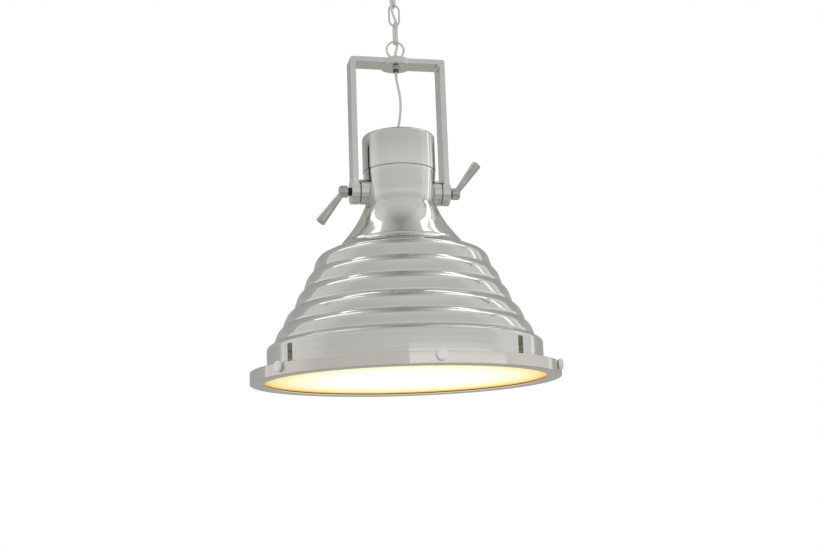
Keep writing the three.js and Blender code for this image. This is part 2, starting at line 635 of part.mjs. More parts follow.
function lampholder() {
  const roof = shade.shoulderHeight - clearance - shade.wall;
  const plateTop = roof - clearance;
  const plateLow = plateTop - plate.thickness;
  const holes = housingScrewPlaces().map(([x, y]) =>
    disc(housingScrew.radius + clearance, plateLow - overrun, plateTop + overrun, smallSides)
      .translate(x, y, 0));
  const centreHole = disc(nipple.radius + clearance, plateLow - overrun, plateTop + overrun,
    smallSides);
  add("holder_plate", cut(disc(plate.radius, plateLow, plateTop, midSides), centreHole, ...holes),
    steel, lamp);
  housingScrewPlaces().forEach(([x, y], i) => {
    const headTop = plateLow - clearance;
    const tip = footZ + neck.flangeThickness - 2 * clearance;
    add("housing_screw_" + (i + 1), turned([
      [0, headTop - housingScrew.headHeight],
      [housingScrew.headCrownRadius, headTop - housingScrew.headHeight],
      [housingScrew.headRadius, headTop],
      [housingScrew.radius, headTop], [housingScrew.radius, tip], [0, tip],
    ], smallSides), steel, lamp).position.set(x, y, 0);
  });
  add("holder_nipple", tube(nipple.bore, nipple.radius, plateLow - nipple.below,
    plateTop + nipple.above, smallSides), brass, lamp);
  add("nipple_nut", hexNut(nipple.radius + clearance, nippleNut.radius, plateTop + clearance,
    plateTop + clearance + nippleNut.height), brass, lamp);

  const holderTop = plateLow - clearance;
  const holderLow = holderTop - holder.height;
  const socketTop = holderTop - holder.roof;
  const socket = bulb.capRadius + clearance;
  add("lampholder", turned([
    [nipple.radius + clearance, holderTop], [holder.radius - holder.wall, holderTop],
    [holder.radius, holderTop - holder.wall],
    [holder.radius, holderLow + holder.roof], [holder.mouthRadius, holderLow + holder.wall],
    [holder.mouthRadius, holderLow], [socket + holder.wall, holderLow],
    [socket, holderLow + holder.wall], [socket, socketTop],
    [nipple.radius + clearance, socketTop],
  ], midSides), ceramic, lamp);

  const capTopZ = socketTop - clearance;
  const capLowZ = capTopZ - bulb.capLength;
  add("bulb_cap", turned([
    [bulb.throatRadius, capLowZ], [bulb.capRadius, capLowZ],
    [bulb.capRadius, capTopZ - holder.wall], [bulb.contactRadius, capTopZ - clearance],
    [0, capTopZ - clearance], [0, capTopZ - holder.wall],
    [bulb.throatRadius, capTopZ - 2 * holder.wall],
  ], midSides), brass, lamp);

  const glassTopZ = capLowZ - clearance;
  const envelope = bulb.length - bulb.capLength;
  const ballZ = glassTopZ - envelope + bulb.envelopeRadius;
  const outline = [[bulb.throatRadius, glassTopZ],
    [bulb.throatRadius + bulb.wall, glassTopZ - bulb.throatLength],
    ...quarter(0, ballZ, bulb.envelopeRadius, bulb.shoulderDegrees, -90, bulb.steps)];
  outline[outline.length - 1][0] = 0;
  const insideOutline = outline.slice(0, -1).map(([r, z]) => [r - bulb.wall, z])
    .concat([[0, ballZ - bulb.envelopeRadius + bulb.wall]]).reverse();
  add("bulb_glass", turned([...outline, ...insideOutline], midSides), clearGlass, lamp);
}

// Bezel ring, gasket, glass and thumb screws

function glassRing() {
  const inner = flangeRadius + bezel.play;
  const outer = inner + bezel.wall;
  const glassRadius = inner - glass.play;
  const opening = glassRadius - glass.lap;
  const ring = turned([
    [opening, 0], [outer - bezel.edge, 0], [outer, bezel.edge],
    [outer, bezel.height - bezel.edge], [outer - bezel.edge, bezel.height],
    [inner, bezel.height], [inner, lipTop], [opening, lipTop],
  ], bigSides);
  const places = Array.from({ length: thumb.count }, (unused, i) =>
    degrees(thumb.firstDegrees + (360 * i) / thumb.count));
  const holes = places.map((angle) =>
    alongX(disc(thumb.shankRadius + clearance, inner - overrun, outer + overrun, smallSides))
      .translate(0, 0, thumb.height).rotateZ(angle));
  add("bezel_ring", cut(ring, ...holes), chrome, lamp);
  const gasketInner = opening + gasket.inset;
  add("glass_gasket", tube(gasketInner, gasketInner + gasket.width, gasketLow,
    gasketLow + gasket.thickness, bigSides), rubber, lamp);
  add("diffuser_glass", disc(glassRadius, glassLow, glassTop, bigSides), opalGlass, lamp);
  const tip = flangeRadius + clearance;
  const seat = outer + clearance;
  places.forEach((angle, i) => {
    const geometry = alongX(turned([
      [0, tip], [thumb.shankRadius, tip], [thumb.shankRadius, seat],
      [thumb.headRadius - thumb.chamfer, seat], [thumb.headRadius, seat + thumb.chamfer],
      [thumb.headRadius, seat + thumb.headLength - thumb.chamfer],
      [thumb.headRadius - thumb.chamfer, seat + thumb.headLength],
      [0, seat + thumb.headLength],
    ], smallSides));
    const mesh = add("thumb_screw_" + (i + 1), geometry, nickel, lamp);
    mesh.position.z = thumb.height;
    mesh.rotation.z = angle;
  });
}

// Cord: along the chain, through the hollow stem, down to the cap and inside it to the lampholder.
// The chain stretches are points [x, y, z] from the ceiling down, chosen by hand.

const cordRoutes = {
  cord_upper_1: [[-16, -12, -34], [-16, -11.7, -40], [-14.3, -10.6, -53.4], [-10.8, -8.6, -64.4],
    [-8.1, -6.9, -72.4], [-6.8, -5.9, -78.4]],
  cord_upper_2: [[-6.72, -5.84, -78.7], [-6.1, -5.3, -84.4], [-5.6, -4.8, -90.4], [-4.9, -3.9, -96.2],
    [-3.2, -2.2, -102], [-0.9, -0.2, -108]],
  cord_upper_3: [[-0.78, -0.1, -108.3], [1.7, 1.7, -113], [3.7, 3.6, -117.6], [4.6, 4.9, -123.2],
    [4.6, 5.1, -130], [4.5, 5, -136], [4.5, 5, -142.1]],
  cord_upper_4: [[4.5, 5, -142.4], [4.5, 4.9, -148.4], [4.4, 4.3, -154.4], [3.9, 2.5, -160.4],
    [2.1, 0.9, -165.9], [0.5, 0.1, -171.4], [0, 0, -176.9], [0, 0, -200.4]],
  cord_in_canopy: [[-16, -12, -33.6], [-16, -12, -28.4], [-16, -12, -23.2], [-15.2, -11.7, -18.6],
    [-10, -10.4, -15.4], [-2, -9.2, -15.6], [6, -6.6, -18], [11.4, -2.6, -20.2], [13.6, -0.4, -18.4],
    [13.6, 0, -13.1]],
  cord_lower: [[0, 0, -203], [0, 0, -211], [0.5, 0, -217], [2.8, 0.2, -231], [5.2, 0.4, -245],
    [6.1, 0.4, -260], [5.2, 0.4, -274], [3, 0.2, -289], [0.8, 0, -301], [0, 0, -308], [0, 0, -313.4]],
};

function cordStretch(name, route, stepDiameters = cordStepDiameters) {
  const curve = new THREE.CatmullRomCurve3(route.map((place) => new THREE.Vector3(...place)));
  const steps = Math.max(cordLeastSteps,
    Math.round(curve.getLength() / (stepDiameters * cord.diameter)));
  add(name, swept(curve, half(cord.diameter), cordSides, steps), whiteCord);
}

function cords() {
  for (const [name, route] of Object.entries(cordRoutes)) cordStretch(name, route);
  const nippleLow = shade.shoulderHeight - shade.wall - plate.thickness - nipple.below;
  cordStretch("cord_inside", [[0, 0, cordRoutes.cord_lower.at(-1)[2] - clearance],
    [0, 0, lampZ + capLow], [0, 0, lampZ + nippleLow]],
  straightCordStepDiameters);
}

ceilingFitting();
ceilingHook();
chainLinks();
hangingLoop();
yokeFrame();
clampSide("left", -1, -lever.angleDegrees);
clampSide("right", 1, lever.angleDegrees);
topCap();
neckHousing();
ribbedShade();
lampholder();
glassRing();
cords();

export default object;
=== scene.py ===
import math

import bmesh
import bpy
from mathutils import Matrix, Vector


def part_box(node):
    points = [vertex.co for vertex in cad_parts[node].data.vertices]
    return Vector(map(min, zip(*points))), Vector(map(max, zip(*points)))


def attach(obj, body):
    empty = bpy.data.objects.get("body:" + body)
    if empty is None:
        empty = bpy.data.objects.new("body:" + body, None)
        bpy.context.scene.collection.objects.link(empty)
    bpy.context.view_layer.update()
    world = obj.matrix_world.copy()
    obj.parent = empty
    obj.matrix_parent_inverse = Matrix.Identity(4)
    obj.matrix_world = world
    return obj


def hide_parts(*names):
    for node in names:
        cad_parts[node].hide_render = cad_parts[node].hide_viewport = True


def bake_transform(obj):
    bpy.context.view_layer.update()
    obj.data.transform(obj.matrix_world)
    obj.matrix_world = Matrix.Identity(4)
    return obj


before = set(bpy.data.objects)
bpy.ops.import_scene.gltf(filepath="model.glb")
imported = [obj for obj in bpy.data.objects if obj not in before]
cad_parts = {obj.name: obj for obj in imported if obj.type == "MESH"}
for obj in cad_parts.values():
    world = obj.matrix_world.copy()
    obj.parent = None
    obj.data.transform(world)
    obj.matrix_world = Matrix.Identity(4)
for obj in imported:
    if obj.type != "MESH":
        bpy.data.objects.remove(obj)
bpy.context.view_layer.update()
scene = bpy.context.scene
mm = 0.001

# The camera stands left of the lamp and below it. Its frame is 819 by 546 pixels.
view = {"place": (-0.38, -1.779, -0.896), "forward": (0.2108, 0.9584, 0.1924), "rollDegrees": 1.95,
        "lens": 51.7, "sensor": 36}


def makeCamera():
    data = bpy.data.cameras.new("viewpoint")
    data.lens, data.sensor_width = view["lens"], view["sensor"]
    camera = bpy.data.objects.new("viewpoint", data)
    scene.collection.objects.link(camera)
    forward = Vector(view["forward"]).normalized()
    right = forward.cross(Vector((0, 0, 1))).normalized()
    up = right.cross(forward)
    roll = math.radians(view["rollDegrees"])
    rolledRight = right * math.cos(roll) - up * math.sin(roll)
    rolledUp = right * math.sin(roll) + up * math.cos(roll)
    turn = Matrix((rolledRight, rolledUp, -forward)).transposed().to_4x4()
    camera.matrix_world = Matrix.Translation(view["place"]) @ turn
    scene.camera = camera


makeCamera()
print("camera set")


# Outlines and meshes. Lengths are millimetres, but metres in the camera, the free cords and the studio.

gap = 0.3  # left between pieces that meet
soft, softer = 0.3, 0.5  # the roundings of most edges
sharpAngle = math.radians(35)  # steeper edges stay sharp
alongX = Matrix.Rotation(math.pi / 2, 4, "Y")
upright = Matrix.Rotation(math.pi / 2, 4, "X")
square = ((-1, -1), (1, -1), (1, 1), (-1, 1))


def heightOf(node, end):
    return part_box(node)[end].z / mm


def onCircle(radius, angle):
    return radius * math.cos(angle), radius * math.sin(angle)


def evenAngles(sizes):
    return [math.radians(sizes["firstDegrees"] + 360 * k / sizes["count"]) for k in range(sizes["count"])]


def smoothPath(points, perSpan):
    # A curve through the points, with knots that follow the distances between them
    points = [Vector(p) for p in points]
    ends = [points[0] * 2 - points[1], *points, points[-1] * 2 - points[-2]]
    path = []
    for i in range(len(points) - 1):
        a, b, c, d = ends[i:i + 4]
        kb = max((b - a).length, 1e-6) ** 0.5
        kc = kb + max((c - b).length, 1e-6) ** 0.5
        kd = kc + max((d - c).length, 1e-6) ** 0.5
        for k in range(perSpan):
            t = kb + (kc - kb) * k / perSpan
            ab, bc, cd = a.lerp(b, t / kb), b.lerp(c, (t - kb) / (kc - kb)), c.lerp(d, (t - kc) / (kd - kc))
            left, right = ab.lerp(bc, t / kc), bc.lerp(cd, (t - kb) / (kd - kb))
            path.append(left.lerp(right, (t - kb) / (kc - kb)))
    return [*path, points[-1]]


def roundCorners(corners, steps=5):
    # Each corner is x, y and, where it is rounded, a radius
    points = []
    for i, corner in enumerate(corners):
        here = Vector(corner[:2])
        radius = corner[2] if len(corner) > 2 else 0
        back = Vector(corners[i - 1][:2]) - here
        ahead = Vector(corners[(i + 1) % len(corners)][:2]) - here
        turn = back.angle(ahead, math.pi)
        if not radius or abs(turn - math.pi) < 1e-3:
            points.append(here)
            continue
        reach = min(radius / math.tan(turn / 2), 0.49 * back.length, 0.49 * ahead.length)
        radius = reach * math.tan(turn / 2)
        middle = (back.normalized() + ahead.normalized()).normalized()
        centre = here + middle * radius / math.sin(turn / 2)
        start = here + back.normalized() * reach - centre
        stop = here + ahead.normalized() * reach - centre
        first = math.atan2(start.y, start.x)
        sweep = math.atan2(start.cross(stop), start.dot(stop))
        angles = [first + sweep * k / steps for k in range(steps + 1)]
        points += [centre + radius * Vector(onCircle(1, angle)) for angle in angles]
    return points


def rectangle(length, width, corner):
    return roundCorners([(x * length / 2, y * width / 2, corner) for x, y in square])


def stadium(length, width, steps=12):
    outline = []
    for side in (1, -1):
        for k in range(steps + 1):
            x, y = onCircle(width / 2, math.pi * (k / steps - side / 2))
            outline.append((side * (length - width) / 2 + x, y))
    return outline


def band(inner, outer, low, high, lowEdge, highEdge):
    # The section of a disc or a ring, with its two outer edges rounded
    return [(inner, low), (outer, low, lowEdge), (outer, high, highEdge), (inner, high)]


def offsetPath(points, distance):
    moved = []
    for i, here in enumerate(points):
        along = points[min(i + 1, len(points) - 1)] - points[max(i - 1, 0)]
        moved.append(here + Vector((along.y, -along.x)).normalized() * distance)
    return moved


def smoothed(mesh):
    mesh.shade_smooth()
    mesh.set_sharp_from_angle(angle=sharpAngle)
    return mesh


def finished(name, work):
    bmesh.ops.remove_doubles(work, verts=work.verts, dist=1e-7)
    bmesh.ops.recalc_face_normals(work, faces=work.faces)
    mesh = bpy.data.meshes.new(name)
    work.to_mesh(mesh)
    work.free()
    piece = bpy.data.objects.new(name, smoothed(mesh))
    scene.collection.objects.link(piece)
    return piece


def turned(name, outline, segments, place=(0, 0, 0), turn=None, wave=None):
    # The outline of radii and heights, turned round its axis
    work = bmesh.new()
    move = Matrix.Translation(Vector(place) * mm) @ (turn or Matrix())
    rings = []
    for radius, height in outline:
        count = segments if radius > 1e-4 else 1
        ring = []
        for k in range(count):
            angle = 2 * math.pi * k / count
            out = radius * (wave(angle, radius) if wave else 1)
            ring.append(work.verts.new(move @ (Vector((*onCircle(out, angle), height)) * mm)))
        rings.append(ring)
    for i, ring in enumerate(rings):
        other = rings[(i + 1) % len(rings)]
        for k in range(segments if max(len(ring), len(other)) > 1 else 0):
            corners = [ring[k % len(ring)], ring[(k + 1) % len(ring)],
                       other[(k + 1) % len(other)], other[k % len(other)]]
            corners = [c for j, c in enumerate(corners) if c not in corners[:j]]
            if len(corners) > 2:
                work.faces.new(corners)
    return finished(name, work)


def lathed(name, corners, steps, segments, place=(0, 0, 0), turn=None, wave=None):
    return turned(name, roundCorners(corners, steps), segments, place, turn, wave)


def gripWave(fromRadius, count, depth, level=None):
    # Grooves round what lies beyond a radius. With a level their sides are steep.
    def wave(angle, radius):
        if radius <= fromRadius:
            return 1
        rise = math.cos(angle * count)
        return 1 - depth * (0.5 + 0.5 * rise if level is None else rise > level)

    return wave


def tube(name, path, radius, sides, closed=False):
    path = [Vector(p) for p in path]
    count = len(path)
    work = bmesh.new()
    rings = []
    side = None
    for i, here in enumerate(path):
        if closed:
            along = path[(i + 1) % count] - path[i - 1]
        else:
            along = path[min(i + 1, count - 1)] - path[max(i - 1, 0)]
        along.normalize()
        if side is None:
            side = along.orthogonal()
        side = (side - along * side.dot(along)).normalized()
        across = along.cross(side)
        ring = []
        for k in range(sides):
            x, y = onCircle(1, 2 * math.pi * k / sides)
            ring.append(work.verts.new((here + radius * (side * x + across * y)) * mm))
        rings.append(ring)
    last = count if closed else count - 1
    for i in range(last):
        ring, other = rings[i], rings[(i + 1) % count]
        shift = 0
        if closed and i == last - 1:
            shift = min(range(sides), key=lambda s: (ring[0].co - other[s].co).length)
        for k in range(sides):
            work.faces.new((ring[k], ring[(k + 1) % sides], other[(k + 1 + shift) % sides],
                            other[(k + shift) % sides]))
    if not closed:
        work.faces.new(rings[0][::-1])
        work.faces.new(rings[-1])
    return finished(name, work)


def prism(name, outline, low, high, edge=0, edgeSteps=3, turn=None, place=(0, 0, 0)):
    work = bmesh.new()
    bottom = [work.verts.new(Vector((x, y, low)) * mm) for x, y in outline]
    grown = bmesh.ops.extrude_face_region(work, geom=[work.faces.new(bottom)])
    top = [v for v in grown["geom"] if isinstance(v, bmesh.types.BMVert)]
    bmesh.ops.translate(work, verts=top, vec=(0, 0, (high - low) * mm))
    if edge:
        rims = [e for e in work.edges if abs(e.verts[0].co.z - e.verts[1].co.z) < 1e-9]
        bmesh.ops.bevel(work, geom=rims, offset=edge * mm, segments=edgeSteps, profile=0.5,
                        affect="EDGES", clamp_overlap=True)
    move = Matrix.Translation(Vector(place) * mm) @ (turn or Matrix())
    bmesh.ops.transform(work, matrix=move, verts=work.verts)
    return finished(name, work)


def combined(piece, other, kind="UNION"):
    change = piece.modifiers.new("join", "BOOLEAN")
    change.operation, change.object, change.solver = kind, other, "EXACT"
    graph = bpy.context.evaluated_depsgraph_get()
    piece.data = smoothed(bpy.data.meshes.new_from_object(piece.evaluated_get(graph)))
    piece.modifiers.clear()
    bpy.data.objects.remove(other)


def drill(piece, radius, low, high, segments=40, place=(0, 0, 0), turn=None, past=(2, 2)):
    # The drill runs past both faces, or past one of them for a blind hole
    low, high = low - past[0], high + past[1]
    hole = turned("hole", [(0, low), (radius, low), (radius, high), (0, high)], segments, place, turn)
    combined(piece, hole, "DIFFERENCE")


def addEdgeCare(piece):
    care = piece.modifiers.new("evenNormals", "WEIGHTED_NORMAL")
    care.keep_sharp = True
    return piece


# Finishes

def fillInputs(tree, node, inputs):
    for label, value in inputs.items():
        if isinstance(value, bpy.types.NodeSocket):
            tree.links.new(value, node.inputs[label])
        else:
            node.inputs[label].default_value = value


def addNode(tree, kind, inputs=None, **settings):
    # An input is given a plain value, or a socket that it is linked to
    node = tree.nodes.new("ShaderNode" + kind)
    for label, value in settings.items():
        setattr(node, label, value)
    fillInputs(tree, node, inputs or {})
    return node


def newGroup(name, inputs, outputs):
    group = bpy.data.node_groups.new(name, "ShaderNodeTree")
    for label, value in inputs.items():
        socket = group.interface.new_socket(name=label, in_out="INPUT", socket_type="NodeSocketFloat")
        socket.default_value = value
    for label in outputs:
        group.interface.new_socket(name=label, in_out="OUTPUT", socket_type="NodeSocketFloat")
    return group, group.nodes.new("NodeGroupInput").outputs, group.nodes.new("NodeGroupOutput").inputs


def objectPlace(tree):
    return addNode(tree, "TexCoord").outputs["Object"]


def placeParts(tree):
    return addNode(tree, "SeparateXYZ", {"Vector": objectPlace(tree)}).outputs


def reachAndHeight(tree):
    # A point's distance from the piece's upright axis, and its height
    apart = placeParts(tree)
    flat = addNode(tree, "CombineXYZ", {"X": apart["X"], "Y": apart["Y"]}).outputs["Vector"]
    return addNode(tree, "VectorMath", {0: flat}, operation="LENGTH").outputs["Value"], apart["Z"]


def mappedValue(tree, value, low=0.0, high=1.0, toLow=0.0, toHigh=1.0):
    return addNode(tree, "MapRange", {"Value": value, "From Min": low, "From Max": high, "To Min": toLow,
                                      "To Max": toHigh}).outputs["Result"]


def makeHandMarks():
    # Faint smudges and a fine grain, as masks from 0 to 1
    group, given, result = newGroup("handMarks", {"Smudge Scale": 14.0, "Grain Scale": 900.0},
                                    ("Smudge", "Grain"))
    place = objectPlace(group)
    for label, detail in (("Smudge", 4.0), ("Grain", 2.0)):
        scale = given[label + " Scale"]
        noise = addNode(group, "TexNoise", {"Vector": place, "Scale": scale, "Detail": detail})
        group.links.new(mappedValue(group, noise.outputs["Fac"], 0.35, 0.7), result[label])
    return group


def makeSpinMarks():
    # Fine rings left by spinning: noise that only changes with radius and height
    group, given, result = newGroup("spinMarks", {"Ring Scale": 260.0}, ("Rings",))
    reach, height = reachAndHeight(group)
    across = addNode(group, "CombineXYZ", {"X": reach, "Z": height}).outputs["Vector"]
    noise = addNode(group, "TexNoise", {"Vector": across, "Scale": given["Ring Scale"], "Detail": 3.0})
    group.links.new(noise.outputs["Fac"], result["Rings"])
    return group


handMarks = makeHandMarks()
spinMarks = makeSpinMarks()


def newMaterial(name):
    material = bpy.data.materials.new(name)
    material.use_nodes = True
    return material, material.node_tree, material.node_tree.nodes["Principled BSDF"]


def addMarks(tree, smudgeScale, grainScale):
    return addNode(tree, "Group", {"Smudge Scale": smudgeScale, "Grain Scale": grainScale},
                   node_tree=handMarks).outputs


def addBump(tree, height, strength, distance):
    return addNode(tree, "Bump", {"Height": height, "Strength": strength, "Distance": distance})


def mixedColour(tree, mask, first, second):
    return addNode(tree, "Mix", {"Factor": mask, "A": (*first, 1), "B": (*second, 1)},
                   data_type="RGBA").outputs["Result"]


def multipliedColour(tree, first, second):
    return addNode(tree, "Mix", {"Factor": 1.0, "A": first, "B": second},
                   data_type="RGBA", blend_type="MULTIPLY").outputs["Result"]


def addRamp(tree, share, stops):
    ramp = addNode(tree, "ValToRGB", {"Fac": share})
    places = ramp.color_ramp.elements
    places.remove(places[1])
    for i, (position, colour) in enumerate(stops):
        stop = places.new(position) if i else places[0]
        stop.position, stop.color = position, (*colour, 1)
    return ramp.outputs["Color"]


def metalFinish(name, colour, darker, roughness, grain, smudgeScale=14.0, spun=0.0, metallic=1.0):
    material, tree, shader = newMaterial(name)
    marks = addMarks(tree, smudgeScale, 900.0)
    bump = addBump(tree, marks["Grain"], grain, 0.0002)
    mask = marks["Smudge"]
    if spun:
        rings = addNode(tree, "Group", {"Ring Scale": 260.0}, node_tree=spinMarks).outputs["Rings"]
        tree.links.new(addBump(tree, rings, spun, 0.0004).outputs["Normal"], bump.inputs["Normal"])
        mask = mappedValue(tree, rings, 0.4, 0.62)
    fillInputs(tree, shader, {
        "Metallic": metallic, "Specular Tint": (0.8, 0.8, 0.8, 1), "Normal": bump.outputs["Normal"],
        "Roughness": mappedValue(tree, marks["Smudge"], 0.0, 1.0, *roughness),
        "Base Color": mixedColour(tree, mask, colour, darker)})
    return material


def plasticFinish(name, colour, darker, roughness, grain=0.2):
    material, tree, shader = newMaterial(name)
    marks = addMarks(tree, 60.0, 1600.0)
    fillInputs(tree, shader, {
        "Base Color": mixedColour(tree, marks["Smudge"], colour, darker),
        "Roughness": mappedValue(tree, marks["Smudge"], 0.0, 1.0, *roughness),
        "Normal": addBump(tree, marks["Grain"], grain, 0.0001).outputs["Normal"]})
    return material


def opalFinish(name):
    # The lit glass: white over most of its width, turning yellow and then amber at its rim
    material, tree, shader = newMaterial(name)
    share = mappedValue(tree, reachAndHeight(tree)[0], 0.0, glassRing["glassRadius"] * mm)
    fillInputs(tree, shader, {
        "Emission Color": addRamp(tree, share, glassRing["glow"]), "Emission Strength": 0.9,
        "Roughness": mappedValue(tree, addMarks(tree, 30.0, 1200.0)["Grain"], toLow=0.3, toHigh=0.42),
        "Base Color": mixedColour(tree, share, (0.3, 0.29, 0.26), (0.12, 0.08, 0.03))})
    return material


def bulbFinish(name):
    material, tree, shader = newMaterial(name)
    smudge = addMarks(tree, 30.0, 900.0)["Smudge"]
    fillInputs(tree, shader, {
        "Base Color": mixedColour(tree, smudge, (1.0, 0.93, 0.8), (1.0, 0.9, 0.74)),
        "Roughness": mappedValue(tree, smudge, toLow=0.25, toHigh=0.4),
        "Emission Color": (1.0, 0.86, 0.6, 1), "Emission Strength": 1.2})
    return material


glassRing = {"glassRadius": 232, "glassThickness": 4, "gasketWidth": 11, "gasketThickness": 1.2,
             "glow": [(0, (1, 1, 0.97)), (0.52, (1, 0.99, 0.9)), (0.72, (1, 0.93, 0.62)),
                      (0.86, (1, 0.78, 0.33)), (0.93, (0.86, 0.56, 0.18)), (1, (0.42, 0.2, 0.04))]}

# Each finish has its colour, a darker one for the smudges, a range of roughness and the depth of its grain
polish = (0.06, 0.1)
chrome = metalFinish("chromeSpun", (0.864, 0.87, 0.824), (0.832, 0.838, 0.792), polish, 0.02, spun=0.04)
chromePlain = metalFinish("chromePlain", (0.86, 0.866, 0.82), (0.838, 0.844, 0.798), polish, 0.02)
# Painted light: the bezel's warm tint stands in for the amber glow of the lit glass on its chrome
chromePaintedGlowTint = metalFinish("chromePaintedGlowTint", (0.86, 0.836, 0.765), (0.838, 0.814, 0.745), polish, 0.02)
chromeSolid = metalFinish("chromeSolid", (0.89, 0.898, 0.856), (0.84, 0.848, 0.806), (0.13, 0.2), 0.04, 40.0)
leverChrome = metalFinish("leverChrome", (0.66, 0.665, 0.63), (0.54, 0.545, 0.515), (0.12, 0.2), 0.04, 60.0)
nickel = metalFinish("nickelTurned", (0.98, 0.98, 0.97), (0.92, 0.92, 0.9), (0.16, 0.26), 0.05, 60.0,
                     metallic=0.5)
# Near black: blackened steel for the studs, and on the clamp washers partly painted shade of the gap beside
# the lever hub
darkSteelAndGapShade = metalFinish("darkSteelAndGapShade", (0.08, 0.08, 0.08), (0.05, 0.05, 0.05), (0.35, 0.5), 0.1, 80.0)
steel = metalFinish("zincSteel", (0.64, 0.65, 0.65), (0.5, 0.51, 0.51), (0.3, 0.45), 0.1, 50.0)
washerSteel = metalFinish("washerSteel", (0.76, 0.76, 0.74), (0.67, 0.67, 0.65), (0.3, 0.45), 0.1, 60.0)
# Painted shade: the lamp shade's inward faces get a dark grey that stands in for the dimness inside it
shadeInsidePaintedShade = metalFinish("shadeInsidePaintedShade", (0.36, 0.38, 0.42), (0.3, 0.32, 0.36), (0.45, 0.6), 0.1)
brass = metalFinish("brass", (0.95, 0.7, 0.3), (0.85, 0.6, 0.23), (0.2, 0.35), 0.06, 60.0)
cordPlastic = plasticFinish("cordPlastic", (0.76, 0.76, 0.73), (0.7, 0.7, 0.67), (0.3, 0.42), 0.1)
blackPlastic = plasticFinish("blackPlastic", (0.02, 0.02, 0.022), (0.03, 0.03, 0.03), (0.35, 0.5))
greyPlastic = plasticFinish("greyPlastic", (0.13, 0.12, 0.1), (0.1, 0.09, 0.08), (0.35, 0.5))
rubber = plasticFinish("rubber", (0.17, 0.115, 0.045), (0.13, 0.09, 0.035), (0.5, 0.65), 0.4)
ceramic = plasticFinish("ceramic", (0.82, 0.8, 0.74), (0.76, 0.74, 0.68), (0.15, 0.28), 0.05)
opal = opalFinish("opalGlass")
bulbGlass = bulbFinish("bulbGlass")
print("finishes made")


def settle(piece, body, slotName, material, *nodes):
    piece.data.materials.clear()
    piece.data.materials.append(material)
    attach(piece, body)
    if nodes:
        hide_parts(*nodes)


# Free cord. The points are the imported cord's own, in metres, from the ceiling down.

cordSize = {"diameter": 4, "perSpan": 6, "sides": 20}
cordRoutes = {
    "cord_upper_1": [(-0.016, -0.012, -0.034), (-0.016, -0.0117, -0.04), (-0.0143, -0.0106, -0.0534),
                     (-0.0108, -0.0086, -0.0644), (-0.0081, -0.0069, -0.0724), (-0.0068, -0.0059, -0.0784)],
    "cord_upper_2": [(-0.00672, -0.00584, -0.0787), (-0.0061, -0.0053, -0.0844), (-0.0056, -0.0048, -0.0904),
                     (-0.0049, -0.0039, -0.0962), (-0.0032, -0.0022, -0.102), (-0.0009, -0.0002, -0.108)],
    "cord_upper_3": [(-0.00078, -0.0001, -0.1083), (0.0017, 0.0017, -0.113), (0.0037, 0.0036, -0.1176),
                     (0.0046, 0.0049, -0.1232), (0.0046, 0.0051, -0.13), (0.0045, 0.005, -0.136),
                     (0.0045, 0.005, -0.1421)],
    "cord_upper_4": [(0.0045, 0.005, -0.1424), (0.0045, 0.0049, -0.1484), (0.0044, 0.0043, -0.1544),
                     (0.0039, 0.0025, -0.1604), (0.0021, 0.0009, -0.1659), (0.0005, 0.0001, -0.1714),
                     (0, 0, -0.1769), (0, 0, -0.2004)],
    "cord_lower": [(0, 0, -0.203), (0, 0, -0.211), (0.0005, 0, -0.217), (0.0028, 0.0002, -0.231),
                   (0.0052, 0.0004, -0.245), (0.0061, 0.0004, -0.26), (0.0052, 0.0004, -0.274),
                   (0.003, 0.0002, -0.289), (0.0008, 0, -0.301), (0, 0, -0.308), (0, 0, -0.3134)],
}


def makeFreeCords():
    for node, route in cordRoutes.items():
        path = smoothPath(route, cordSize["perSpan"])
        piece = tube("free_" + node, [p / mm for p in path], cordSize["diameter"] / 2, cordSize["sides"])
        piece.data.materials.append(cordPlastic)
        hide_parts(node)
        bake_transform(piece)


makeFreeCords()
print("cords made")


# Ceiling fitting

strapSizes = {"length": 96, "width": 22, "thickness": 2.5, "bossRadius": 7, "bossDepth": 9, "bossTop": -1,
              "slotLength": 14, "slotWidth": 5, "slotInset": 14, "cornerRadius": 3, "edge": 0.3}
canopySizes = {"radius": 60, "height": 26, "wall": 1.2, "edge": 9, "bushX": -16, "bushY": -12, "rim": -0.1}
collarSizes = {"radius": 9, "height": 8, "chamfer": 1.5, "grooves": 18, "grooveDepth": 0.035}
bushSizes = {"radius": 5, "lipRadius": 6.6, "lipHeight": 1.5, "below": 7, "above": 1.2, "bore": 2.3,
             "taper": 0.6}
blockSizes = {"length": 24, "width": 15, "height": 10, "corner": 1.2, "screwRadius": 2, "screwCentre": 6,
              "screwDepth": 1.2, "screwPlay": 0.2, "standOff": 0.3}
hookSizes = {"wire": 5, "bowlRadius": 9, "drop": 62, "threadIn": 7, "openingDegrees": 62, "startDegrees": 72,
             "neck": 5}
hookBore = hookSizes["wire"] / 2 + gap
canopyLow = -canopySizes["height"]


def makeStrap():
    s = strapSizes
    low, boss = -s["thickness"], -s["bossDepth"]
    strap = prism("mounting_strap", rectangle(s["length"], s["width"], s["cornerRadius"]), low, 0, s["edge"])
    combined(strap, lathed("boss", band(0, s["bossRadius"], boss, s["bossTop"], 0.6, 0), 5, 48))
    for side in (-1, 1):
        centre = side * (s["length"] / 2 - s["slotInset"])
        slot = prism("slot", stadium(s["slotLength"], s["slotWidth"]), low - 2, 2, place=(centre, 0, 0))
        combined(strap, slot, "DIFFERENCE")
    drill(strap, hookBore, boss, boss + hookSizes["threadIn"] + gap, 32, past=(2, 0))
    settle(strap, "ceiling_fitting", "steel", steel, "ceiling_strap")


